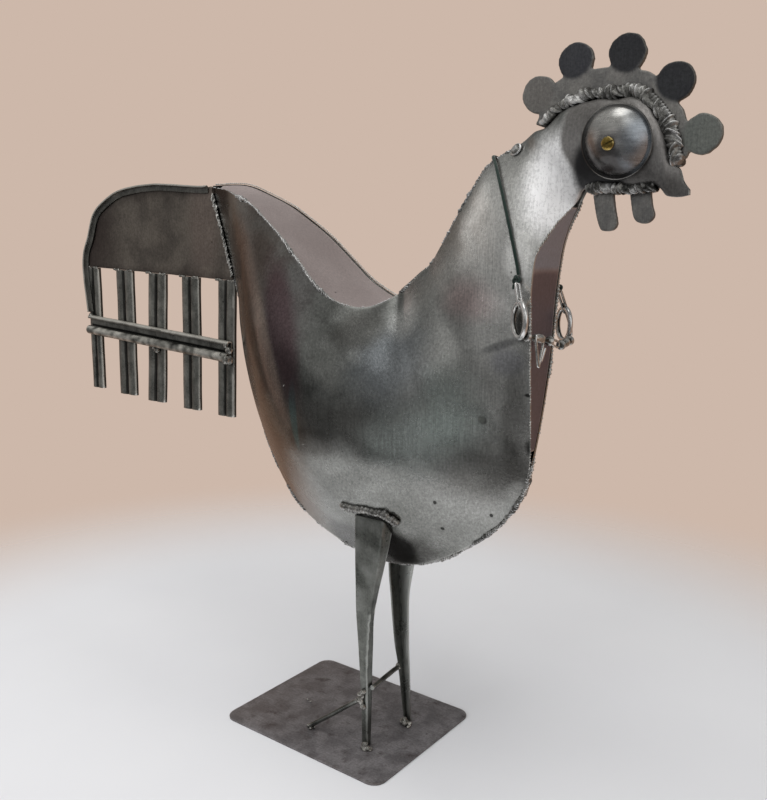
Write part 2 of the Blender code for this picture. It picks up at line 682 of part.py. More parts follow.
def make_cross_bar(material):
    """The folded strip across the slats: a thin lip along its top and a round roll along its bottom."""
    face = SLAT_EDGE_Y - GAP
    roll_y = face - BAR_ROLL_RADIUS
    section = [(face, BAR_HEIGHT), (face, BAR_ROLL_RADIUS)]
    for k in range(1, 9):
        angle = math.pi * k / 8
        y = roll_y + BAR_ROLL_RADIUS * math.cos(angle)
        section.append((y, BAR_ROLL_RADIUS - BAR_ROLL_RADIUS * math.sin(angle)))
    section += [(roll_y, 2 * BAR_ROLL_RADIUS), (face - BAR_LIP, 2 * BAR_ROLL_RADIUS)]
    section += [(face - BAR_LIP, BAR_HEIGHT - 3), (face - 2 * BAR_LIP, BAR_HEIGHT - 2)]
    section += [(face - 2 * BAR_LIP, BAR_HEIGHT)]
    rings = [[(x, y, z + h) for y, h in section] for x, z in (BAR_LEFT, BAR_RIGHT)]
    loft("tail_cross_bar", rings, material, smooth_angle=30)


def leg(name, stations, top_slope, material):
    """A tapered strip folded to an angle. Its top is cut on a slope, to meet the body's underside."""
    inward = 1 if stations[0][1] < 0 else -1
    rings = []
    for k, (z, outer_y, free, fold, depth) in enumerate(stations):
        wall = LEG_SHEET if fold > free else -LEG_SHEET
        section = [(free, 0), (fold, 0), (fold, depth), (fold - wall, depth), (fold - wall, LEG_SHEET),
                   (free, LEG_SHEET)]
        slope = top_slope if k == len(stations) - 1 else 0
        rings.append([(x, outer_y + inward * d, z - slope * d) for x, d in section])
    return loft(name, rings, material)


def make_legs(material, rod_metal):
    """Both legs, the rod between them and the strut behind the right one."""
    leg("right_leg", RIGHT_LEG, RIGHT_LEG_TOP_SLOPE, material)
    leg("left_leg", LEFT_LEG, LEFT_LEG_TOP_SLOPE, material)
    round_wire("leg_cross_rod", CROSS_ROD, ROD_DIAMETER, 10, rod_metal)
    round_wire("rear_strut", STRUT, ROD_DIAMETER, 10, rod_metal)


def make_base(material):
    """The base plate with its rounded corners."""
    outline = []
    steps = 5
    corners = ((1, 1, 0), (-1, 1, 90), (-1, -1, 180), (1, -1, 270))
    for sx, sy, start in corners:
        for k in range(steps + 1):
            angle = math.radians(start + 90 * k / steps)
            x = sx * (PLATE_LENGTH / 2 - PLATE_CORNER) + PLATE_CORNER * math.cos(angle)
            y = sy * (PLATE_WIDTH / 2 - PLATE_CORNER) + PLATE_CORNER * math.sin(angle)
            outline.append((PLATE_CENTRE[0] + x, PLATE_CENTRE[1] + y))
    rings = [[(x, y, z) for x, y in outline] for z in (0.0, PLATE_THICKNESS)]
    loft("base_plate", rings, material)


def oval(start, end, width, wire, sideways, steps=4):
    """The middle line of an oval link that reaches from start to end, with its width along sideways."""
    start, end = Vector(start), Vector(end)
    along = (end - start).normalized()
    across = Vector(sideways) - along * Vector(sideways).dot(along)
    across = across.normalized()
    radius = (width - wire) / 2
    path = []
    inset = along * (radius + wire / 2)
    for centre, sign in ((start + inset, -1), (end - inset, 1)):
        for k in range(steps + 1):
            angle = math.pi * k / steps
            offset = along * math.sin(angle) - across * math.cos(angle)
            path.append(tuple(centre + offset * sign * radius))
    return path


def mouth_bar(name, start, end, material):
    """One turned half of the mouthpiece, a bar with a ball at each end and a swell in its middle."""
    axis = Vector(end) - Vector(start)
    length = axis.length
    ball = MOUTH_BALL_RADIUS
    waist = MOUTH_WAIST_RADIUS
    profile = [(0.0, 0.0), (ball * 0.75, ball * 0.35), (ball, ball), (waist, ball * 1.9),
               (waist * 1.5, length / 2), (waist, length - ball * 1.9), (ball, length - ball),
               (ball * 0.75, length - ball * 0.35), (0.0, length)]
    turned_solid(name, profile, start, axis, 10, material)


def make_bit(material):
    """The jointed bit: two rings on hangers, two mouth bars, a centre link and a drop link."""
    steps = 20
    sideways = Vector(RING_SIDEWAYS).normalized()
    upwards = Vector((0, 0, 1))
    for label, centre, knot in (("right", RIGHT_RING, RIGHT_KNOT), ("left", LEFT_RING, LEFT_KNOT)):
        path = []
        for k in range(steps):
            angle = 2 * math.pi * k / steps
            offset = sideways * math.cos(angle) + upwards * math.sin(angle)
            path.append(tuple(Vector(centre) + offset * RING_RADIUS))
        round_wire(f"bit_ring_{label}", path, RING_WIRE, 6, material, closed=True)
        top = Vector(centre) + upwards * RING_RADIUS
        along = (Vector(knot) - top).normalized()
        low = top - along * (RING_WIRE / 2 + GAP + LINK_WIRE + HANGER_SLACK)
        high = Vector(knot) - along * (KNOT_RADIUS + GAP)
        link = oval(low, high, HANGER_WIDTH, LINK_WIRE, sideways.cross(along))
        round_wire(f"bit_hanger_{label}", link, LINK_WIRE, 6, material, closed=True)
    mouth_bar("bit_mouth_right", *RIGHT_MOUTH, material)
    mouth_bar("bit_mouth_left", *LEFT_MOUTH, material)
    centre_link = oval(*CENTRE_LINK, CENTRE_LINK_WIDTH, LINK_WIRE, (0, 0, 1))
    round_wire("bit_centre_link", centre_link, LINK_WIRE, 6, material, closed=True)
    drop_link = oval(*DROP_LINK, DROP_LINK_WIDTH, LINK_WIRE, (0, 1, 0))
    round_wire("bit_drop_link", drop_link, LINK_WIRE, 6, material, closed=True)


def make_cord(material):
    """The cord over the neck, a curve with a round bevel, and the knot at each of its ends."""
    points = even_points(CORD_ROUTE, CORD_POINT_SPACING)
    curve = bpy.data.curves.new("necklace_cord", "CURVE")
    curve.dimensions = "3D"
    curve.bevel_depth = CORD_DIAMETER / 2 * MM
    curve.bevel_resolution = 2
    curve.use_fill_caps = True
    curve.materials.append(material)
    spline = curve.splines.new("POLY")
    spline.points.add(len(points) - 1)
    for target, (x, y, z) in zip(spline.points, points):
        target.co = (x * MM, y * MM, z * MM, 1.0)
    bpy.context.scene.collection.objects.link(bpy.data.objects.new("necklace_cord", curve))

    ball = []
    rings = 5
    for k in range(rings + 1):
        angle = math.pi * k / rings
        ball.append((KNOT_RADIUS * math.sin(angle), -KNOT_RADIUS * 0.9 * math.cos(angle)))
    for label, knot in (("right", RIGHT_KNOT), ("left", LEFT_KNOT)):
        turned_solid(f"cord_knot_{label}", ball, knot, (0, 0, 1), 10, material)


def make_button(material):
    """The small round stud on the neck behind the comb."""
    profile = [(0.0, 0.0), (BUTTON_RADIUS, 0.0), (BUTTON_RADIUS, BUTTON_HEIGHT * 0.4),
               (BUTTON_RADIUS * 0.7, BUTTON_HEIGHT * 0.85), (0.0, BUTTON_HEIGHT)]
    turned_solid("neck_button", profile, BUTTON_CENTRE, BUTTON_OUTWARD, 14, material)


def make_welds(material):
    """The main weld beads, on both sides of the comb, throat and tail, and at the legs' tops and feet."""
    comb_face = COMB_THICKNESS / 2 + GAP
    crown = even_points(CROWN_BEAD, BEAD_SPACING)
    throat = even_points(THROAT_BEAD, BEAD_SPACING)
    low = tail_bottom_z(-109.0) + 3
    tail = beside(rear_seam(low, TAIL_TOP_RIGHT[1] - 5, BEAD_SPACING), -TAIL_BEAD_BEHIND)
    tail_face = TAIL_SHEET / 2 + GAP
    for label, side in (("right", -1), ("left", 1)):
        out = (0, side, 0)
        for name, path, face, width, height in (
            ("comb", crown, comb_face, BEAD_WIDTH, BEAD_HEIGHT),
            ("throat", throat, comb_face, THROAT_BEAD_WIDTH, BEAD_HEIGHT),
            ("tail", tail, tail_face, TAIL_BEAD_WIDTH, TAIL_BEAD_HEIGHT),
        ):
            line = [(x, side * face, z) for x, z in path]
            bead(f"weld_{name}_{label}", line, out, width, height, material)
    for label, route, side in (("right", RIGHT_LEG_BEAD, -1), ("left", LEFT_LEG_BEAD, 1)):
        line = even_points(route, BEAD_SPACING)
        out = (0, side, LEG_BEAD_OUTWARD_Z)
        bead(f"weld_leg_{label}", line, out, LEG_BEAD_WIDTH, LEG_BEAD_HEIGHT, material)
    for label, (x, y) in (("right", RIGHT_FOOT_BEAD), ("left", LEFT_FOOT_BEAD)):
        line = [(x + reach, y, PLATE_THICKNESS + GAP) for reach in FOOT_BEAD_STEPS]
        bead(f"weld_foot_{label}", line, (0, 0, 1), FOOT_BEAD_WIDTH, FOOT_BEAD_HEIGHT, material)


def main():
    """Builds the whole bird."""
    clear_scene()
    steel = make_material("sheet_steel", (0.30, 0.31, 0.30), 0.35)
    dark_steel = make_material("dark_steel", (0.12, 0.11, 0.10), 0.5)
    plate_steel = make_material("plate_steel", (0.14, 0.12, 0.11), 0.5)
    weld = make_material("weld_metal", (0.45, 0.45, 0.43), 0.35)
    dome = make_material("dome_steel", (0.20, 0.20, 0.20), 0.25)
    brass = make_material("brass", (0.65, 0.45, 0.12), 0.3)
    cord = make_material("green_cord", (0.01, 0.04, 0.03), 0.8, 0.0)
    bit = make_material("bit_nickel", (0.55, 0.55, 0.52), 0.3)

    make_base(plate_steel)
    make_legs(dark_steel, dark_steel)
    side_sheet("right_side_sheet", -1, steel)
    side_sheet("left_side_sheet", 1, steel)
    saddle = [curve_point(BODY_RIBS, k / 2)[0:3] for k in range(2, 2 * len(BODY_RIBS) - 2)]
    back_edges = [(x, z, half, saddle_lean(x)) for x, z, half in saddle]
    strip_between("back_sheet", back_edges, 1, dark_steel)
    front = [rib[3:6] for rib in NECK_RIBS + HEAD_RIBS[0:1]]
    breast_edges = [(x, z, half, 0.0) for x, z, half in even_points(front, STRIP_SPACING)]
    strip_between("breast_sheet", breast_edges, -1, dark_steel)
    make_comb(dark_steel)
    make_wattles(dark_steel)
    make_eyes(dome, brass)
    make_tail(dark_steel, steel)
    make_cord(cord)
    make_bit(bit)
    make_button(weld)
    make_welds(weld)


main()
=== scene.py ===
"""A rooster cut from sheet steel and welded together, dressed for a studio picture.

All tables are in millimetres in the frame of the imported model: +X is towards the beak, -Y is the bird's
right side and +Z is up. Lengths turn to metres only where a mesh is written.
"""

from __future__ import annotations

import logging
import math
import random
from collections.abc import Callable, Sequence
from dataclasses import dataclass, field
from enum import Enum
from functools import partial

import bpy
from mathutils import Matrix, Vector, noise

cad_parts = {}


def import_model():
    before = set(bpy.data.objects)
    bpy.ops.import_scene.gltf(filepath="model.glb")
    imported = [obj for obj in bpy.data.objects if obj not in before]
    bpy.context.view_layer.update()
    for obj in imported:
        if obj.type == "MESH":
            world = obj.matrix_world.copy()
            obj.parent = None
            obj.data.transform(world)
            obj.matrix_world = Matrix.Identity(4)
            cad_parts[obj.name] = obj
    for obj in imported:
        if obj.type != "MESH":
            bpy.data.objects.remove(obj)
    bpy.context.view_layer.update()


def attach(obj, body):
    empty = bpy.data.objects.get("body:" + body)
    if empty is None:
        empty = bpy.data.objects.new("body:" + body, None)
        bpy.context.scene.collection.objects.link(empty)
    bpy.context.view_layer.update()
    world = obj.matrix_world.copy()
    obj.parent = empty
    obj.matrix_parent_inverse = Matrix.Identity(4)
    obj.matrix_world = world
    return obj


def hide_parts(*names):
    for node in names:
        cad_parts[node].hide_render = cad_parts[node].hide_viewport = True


LOG = logging.getLogger("rooster")

MM = 0.001
MERGE = 0.002 * MM
GAP = 0.3
BODY = "root"
# The attribute that paints points lighter or darker: partly worn metal, partly painted highlight and shade.
WEAR_AND_LIGHT = "wear"

# Settings of a range that eases in and out, of the range where most of a noise lies, and of a node that
# mixes colours, with that node's sockets.
EASED = {"interpolation_type": "SMOOTHSTEP"}
CENTRAL = {"From Min": 0.3, "From Max": 0.7}
COLOURS = {"data_type": "RGBA"}
UNDER = 6
OVER = 7
MIXED = 2

Flat = tuple[float, float]
Place = tuple[float, float, float]
Path = Sequence[Sequence[float]]
Line = tuple[Place, Place]
Table = tuple[tuple[float, ...], ...]
Faces = list[tuple[int, ...]]
Piece = bpy.types.Object
Tree = bpy.types.NodeTree
Socket = bpy.types.NodeSocket


class Side(Enum):
    """The bird's two sides, by the sign of Y."""

    RIGHT = -1
    LEFT = 1

    @property
    def label(self) -> str:
        """The side's name as it stands in piece names."""
        return self.name.lower()


def curve_point(knots: Path, t: float) -> tuple[float, ...]:
    """The point at t on a smooth curve through knots.

    Args:
        knots: Points of any number of coordinates.
        t: The place on the curve, with one unit from each knot to the next.

    Returns:
        The coordinates at t.
    """
    last = len(knots) - 1
    i = max(0, min(int(t), last - 1))
    f = t - i
    before = knots[i - 1] if i > 0 else [2 * a - b for a, b in zip(knots[0], knots[1])]
    after = knots[i + 2] if i + 2 <= last else [2 * a - b for a, b in zip(knots[last], knots[last - 1])]
    point = []
    for a, b, c, d in zip(before, knots[i], knots[i + 1], after):
        bend = (2 * a - 5 * b + 4 * c - d) * f * f + (3 * b - a - 3 * c + d) * f**3
        point.append(0.5 * (2 * b + (c - a) * f + bend))
    return tuple(point)


def even_points(knots: Path, spacing: float) -> list[tuple[float, ...]]:
    """Points along the smooth curve through knots.

    Args:
        knots: The curve's own points.
        spacing: About how far apart the points are.

    Returns:
        The points from the first knot to the last.
    """
    steps = 24
    dense = [curve_point(knots, k / steps) for k in range(steps * (len(knots) - 1) + 1)]
    reach = sum(math.dist(a, b) for a, b in zip(dense, dense[1:]))
    count = max(2, round(reach / spacing))
    return [along(dense, n / count) for n in range(count + 1)]


def along(path: Path, share: float) -> tuple[float, ...]:
    """The point at a share of a path's length.

    Args:
        path: The corners of a path of straight runs.
        share: How far along, from 0 to 1.

    Returns:
        The point's coordinates.
    """
    runs = [math.dist(a, b) for a, b in zip(path, path[1:])]
    left = share * sum(runs)
    for k, run in enumerate(runs):
        if left <= run or k == len(runs) - 1:
            f = min(1.0, left / run) if run else 0.0
            return tuple(a + (b - a) * f for a, b in zip(path[k], path[k + 1]))
        left -= run
    return tuple(path[-1])


def beside(path: Sequence[Flat], distance: float) -> list[Flat]:
    """A flat path moved sideways, to the right of its direction.

    Args:
        path: Its points.
        distance: How far it moves.

    Returns:
        The moved points.
    """
    moved = []
    for k, (x, z) in enumerate(path):
        ax, az = path[max(k - 1, 0)]
        bx, bz = path[min(k + 1, len(path) - 1)]
        length = math.hypot(bx - ax, bz - az)
        moved.append((x + (bz - az) / length * distance, z - (bx - ax) / length * distance))
    return moved


def rounded(path: Sequence[Flat], radius: float, steps: int = 4) -> list[Flat]:
    """A flat path whose inner corners are rounded as a folding brake leaves them.

    Args:
        path: The corners, from end to end.
        radius: How far each corner is cut back.
        steps: The number of pieces in each round corner.

    Returns:
        The path with its round corners.
    """
    points = [tuple(path[0])]
    for a, b, c in zip(path, path[1:], path[2:]):
        first, second = Vector(a) - Vector(b), Vector(c) - Vector(b)
        cut = min(radius, first.length * 0.45, second.length * 0.45)
        start, end = Vector(b) + first.normalized() * cut, Vector(b) + second.normalized() * cut
        for k in range(steps + 1):
            f = k / steps
            points.append(tuple(start * (1 - f) ** 2 + Vector(b) * 2 * f * (1 - f) + end * f * f))
    points.append(tuple(path[-1]))
    return points


def wander(point: Sequence[float], size: float, seed: float = 0.0) -> float:
    """A smooth random value from about -1 to 1 that changes over size millimetres."""
    return noise.noise(Vector(point) / size + Vector((seed, seed * 1.7, -seed)))


def tone(colour: str) -> tuple[float, float, float, float]:
    """An sRGB hex colour as the linear colour that shaders take.

    Args:
        colour: The colour, as #rrggbb.

    Returns:
        Its red, green, blue and alpha.
    """
    channels = []
    for k in (1, 3, 5):
        value = int(colour[k : k + 2], 16) / 255
        channels.append(value / 12.92 if value <= 0.04045 else ((value + 0.055) / 1.055) ** 2.4)
    return (*channels, 1.0)


def add_node(
    tree: Tree, kind: str, settings: dict | None = None, links: dict | None = None, output: int | str = 0
) -> Socket:
    """Adds a shader node.

    Args:
        tree: The node tree that takes it.
        kind: The end of the node type's name.
        settings: Values by property name, or by the name or number of an input.
        links: Output sockets by the name or number of the input that takes them.
        output: The name or number of the output that is wanted.

    Returns:
        That output.
    """
    node = tree.nodes.new(f"ShaderNode{kind}")
    for name, value in (settings or {}).items():
        if isinstance(name, str) and name in node.bl_rna.properties:
            setattr(node, name, value)
        else:
            node.inputs[name].default_value = value
    for name, source in (links or {}).items():
        tree.links.new(source, node.inputs[name])
    return node.outputs[output]


@dataclass(frozen=True)
class Tint:
    """A soft patch of other colour. Some are what heat or hard sanding leaves on steel; others are painted
    highlights, reflections and shadows.

    It fills an ellipsoid of half-lengths reach that leans by some degrees about Y. Soft is how wide its
    edge fades and ragged how far that edge frays. Gloss adds to the roughness, and scatter takes that
    share of the metal's mirroring away.
    """

    centre: Place
    reach: Place
    colour: str
    strength: float
    gloss: float = 0.0
    soft: float = 0.8
    ragged: float = 0.9
    scatter: float = 0.0
    lean: float = 0.0


@dataclass(frozen=True)
class MetalFinish:
    """A worked metal surface. Sizes are in millimetres and colours are sRGB hex.

    Steel's grain is finer than 0.1 mm, which the picture can't show, so speckle draws it as 1 to 2 mm.
    """

    name: str
    slot: str
    dark: str
    light: str
    edge: str
    roughness: float
    rough_changes: Flat = (-0.07, 0.09)
    bare: float = 1.0
    blotch: float = 30.0
    speckle: float = 1.6
    speckle_depth: float = 0.25
    scratch: Place = (0.5, 0.5, 14.0)
    scratch_depth: float = 0.15
    wave: float = 0.25
    wave_length: float = 22.0
    grain: float = 0.08
    stain: str = "#4a3428"
    stain_cover: float = 0.0
    # Crests and edges lighten between two pointiness values, partly as worn metal and partly as painted
    # highlight. Points that the attribute marks bright lighten too.
    worn_from: float = 0.52
    worn_to: float = 0.6
    worn_cover: float = 0.85
    rubbed_cover: float = 0.9
    pitted: float = 0.35
    pit_spacing: float = 17.0
    pit_radius: float = 0.9
    # Painted shade: how dark corners and gaps get, and how far off the metal that shades them may be.
    soot: float = 0.6
    soot_reach: float = 6.0
    tints: tuple[Tint, ...] = ()

    def make(self) -> bpy.types.Material:
        """Builds the material: mottled colour, stains, tints, bright edges, painted shade, and rough and
        bumpy grain.

        Its bright edges are partly worn metal and partly painted highlight, and its painted shade darkens
        hollows, corners and gaps.

        Returns:
            The material.
        """
        material = bpy.data.materials.new(self.name)
        material.use_nodes = True
        tree = material.node_tree
        shader = tree.nodes["Principled BSDF"]
        shader.inputs["Metallic"].default_value = self.bare
        add = partial(add_node, tree)
        place = add("TexCoord", output="Object")
        where = {"Vector": place}
        blotch, speckle = (
            add("TexNoise", {"Scale": 1 / (size * MM), "Detail": detail, "Roughness": rough}, where)
            for size, detail, rough in ((self.blotch, 5.0, 0.6), (self.speckle, 3.0, 0.7))
        )
        stretch = tuple(1 / (size * MM) for size in self.scratch)
        drawn_out = add("Mapping", {"Scale": stretch}, where)
        scratch = add("TexNoise", {"Scale": 1.0, "Detail": 4.0, "Roughness": 0.65}, {"Vector": drawn_out})

        mottle = add("MapRange", {**EASED, "From Min": 0.36, "From Max": 0.64}, {"Value": blotch})
        colour = add("Mix", {**COLOURS, UNDER: tone(self.dark), OVER: tone(self.light)}, {0: mottle}, MIXED)
        low, high = (self.roughness + change for change in self.rough_changes)
        rough = add("MapRange", {**CENTRAL, "To Min": low, "To Max": high}, {"Value": blotch})
        if self.stain_cover > 0:
            shifted = add("Mapping", {"Location": (0.37, 0.11, 0.53)}, where)
            broken = {"Scale": 1 / (self.blotch * 0.7 * MM), "Detail": 8.0, "Roughness": 0.7}
            patch = add("TexNoise", broken, {"Vector": shifted})
            start, full = 0.62 - self.stain_cover * 0.3, 0.8 - self.stain_cover * 0.2
            mask = add("MapRange", {**EASED, "From Min": start, "From Max": full}, {"Value": patch})
            colour = add("Mix", {**COLOURS, OVER: tone(self.stain)}, {0: mask, UNDER: colour}, MIXED)

        metallic = None
        for tint in self.tints:
            mask = self.tint_mask(tree, tint, place, blotch)
            colour = add("Mix", {**COLOURS, OVER: tone(tint.colour)}, {0: mask, UNDER: colour}, MIXED)
            if tint.scatter:
                links = {0: mask} if metallic is None else {0: mask, 2: metallic}
                metallic = add("Math", {"operation": "MULTIPLY_ADD", 1: -tint.scatter, 2: self.bare}, links)
            if tint.gloss:
                rough = add("Math", {"operation": "MULTIPLY_ADD", 1: tint.gloss}, {0: mask, 2: rough})

        for texture, depth in ((speckle, self.speckle_depth), (scratch, self.scratch_depth)):
            spread = {**CENTRAL, "To Min": 1 - depth, "To Max": 1 + depth}
            factor = add("MapRange", spread, {"Value": texture})
            colour = add("VectorMath", {"operation": "MULTIPLY"}, {0: colour, 1: factor})
        # Painted highlight and worn edges: points that stand out, and points that the attribute marks
        # bright, lighten towards the edge colour.
        crest = add("NewGeometry", output="Pointiness")
        crest_brightening = {**EASED, "From Min": self.worn_from, "From Max": self.worn_to, "To Max": self.worn_cover}
        worn = add("MapRange", crest_brightening, {"Value": crest})
        wear_and_light_value = add("Attribute", {"attribute_name": WEAR_AND_LIGHT}, output="Fac")
        rubbed_and_lit = add("MapRange", {"To Max": self.rubbed_cover}, {"Value": wear_and_light_value})
        for bright in (worn, rubbed_and_lit):
            colour = add("Mix", {**COLOURS, OVER: tone(self.edge)}, {0: bright, UNDER: colour}, MIXED)
        # Painted shade: hollows are darkened, and so are corners and gaps that ambient occlusion finds, and
        # points that the attribute marks dark.
        hollow = {**EASED, "From Min": 0.38, "From Max": 0.48, "To Min": 0.25}
        hollow_shade = add("MapRange", hollow, {"Value": crest})
        shelter = add("AmbientOcclusion", {"samples": 6, "Distance": self.soot_reach * MM}, output="AO")
        crevice_shade_range = {**EASED, "From Min": 0.2, "From Max": 0.85, "To Min": 1 - self.soot}
        crevice_shade_factor = add("MapRange", crevice_shade_range, {"Value": shelter})
        black = add("MapRange", {"From Min": -1.0, "From Max": 0.0, "To Min": 0.06}, {"Value": wear_and_light_value})
        for shade in (hollow_shade, crevice_shade_factor, black, self.pit_shade(tree, place)):
            colour = add("VectorMath", {"operation": "MULTIPLY"}, {0: colour, 1: shade})

        wave = add("TexNoise", {"Scale": 1 / (self.wave_length * MM), "Detail": 1.0}, where)
        bump = add("Bump", {"Strength": 1.0, "Distance": self.wave * MM}, {"Height": wave})
        for texture, height in ((scratch, self.grain * self.scratch_depth * 2), (speckle, self.grain)):
            over = {"Height": texture, "Normal": bump}
            bump = add("Bump", {"Strength": 1.0, "Distance": height * MM}, over)
        if metallic is not None:
            tree.links.new(metallic, shader.inputs["Metallic"])
        for name, source in (("Base Color", colour), ("Roughness", rough), ("Normal", bump)):
            tree.links.new(source, shader.inputs[name])
        return material

    def pit_shade(self, tree: Tree, place: Socket) -> Socket:
        """The darkness of the small rust pits that are strewn over the metal, one between them.

        Args:
            tree: The material's nodes.
            place: Gives each point's coordinates.

        Returns:
            Gives the factor on the colour.
        """
        add = partial(add_node, tree)
        cells = add("TexVoronoi", {"Scale": 1 / (self.pit_spacing * MM)}, {"Vector": place}, "Distance")
        rim = self.pit_radius / self.pit_spacing
        outside = add("MapRange", {**EASED, "From Min": 0.35 * rim, "From Max": rim}, {"Value": cells})
        chance = cells.node.outputs["Color"]
        spared = add("Math", {"operation": "LESS_THAN", 1: 1 - self.pitted}, {0: chance})
        shade = add("Math", {"operation": "MAXIMUM", 1: 0.3}, {0: outside})
        return add("Math", {"operation": "MAXIMUM"}, {0: shade, 1: spared})

    def tint_mask(self, tree: Tree, tint: Tint, place: Socket, wobble: Socket) -> Socket:
        """The share of a tint at each point, one inside its ellipsoid and none outside.

        Args:
            tree: The material's nodes.
            tint: The tint.
            place: Gives each point's coordinates.
            wobble: Gives the noise that frays its edge.

        Returns:
            Gives the share.
        """
        add = partial(add_node, tree)
        centre, reach = (tuple(value * MM for value in three) for three in (tint.centre, tint.reach))
        lean = (0.0, math.radians(tint.lean), 0.0)
        form = {"vector_type": "TEXTURE", "Location": centre, "Rotation": lean, "Scale": reach}
        inside = add("Mapping", form, {"Vector": place})
        away = add("VectorMath", {"operation": "LENGTH"}, {0: inside}, "Value")
        frayed = add("Math", {"operation": "MULTIPLY_ADD", 1: tint.ragged}, {0: wobble, 2: away})
        middle, half = 1 + tint.ragged / 2, tint.soft / 2
        fade = {"From Min": middle - half, "From Max": middle + half, "To Min": tint.strength, "To Max": 0.0}
        return add("MapRange", {**EASED, **fade}, {"Value": frayed})


@dataclass(frozen=True)
class CordFinish:
    """Round braided polyester cord: dark green, matt, with a soft sheen on its strands."""

    name: str
    slot: str
    dark: str
    light: str
    strand: float = 1.1
    relief: float = 0.1

    def make(self) -> bpy.types.Material:
        """Builds the material, with the strands' lit tops lighter than the grooves between them.

        Returns:
            The material.
        """
        material = bpy.data.materials.new(self.name)
        material.use_nodes = True
        tree = material.node_tree
        shader = tree.nodes["Principled BSDF"]
        shader.inputs["Roughness"].default_value = 0.75
        shader.inputs["Sheen Weight"].default_value = 0.3
        add = partial(add_node, tree)
        place = add("TexCoord", output="Object")
        fibre = add("TexNoise", {"Scale": 1 / (self.strand * MM), "Detail": 4.0}, {"Vector": place})
        colour = add("Mix", {**COLOURS, UNDER: tone(self.dark), OVER: tone(self.light)}, {0: fibre}, MIXED)
        bump = add("Bump", {"Strength": 1.0, "Distance": self.relief * MM}, {"Height": fibre})
        tree.links.new(colour, shader.inputs["Base Color"])
        tree.links.new(bump, shader.inputs["Normal"])
        return material
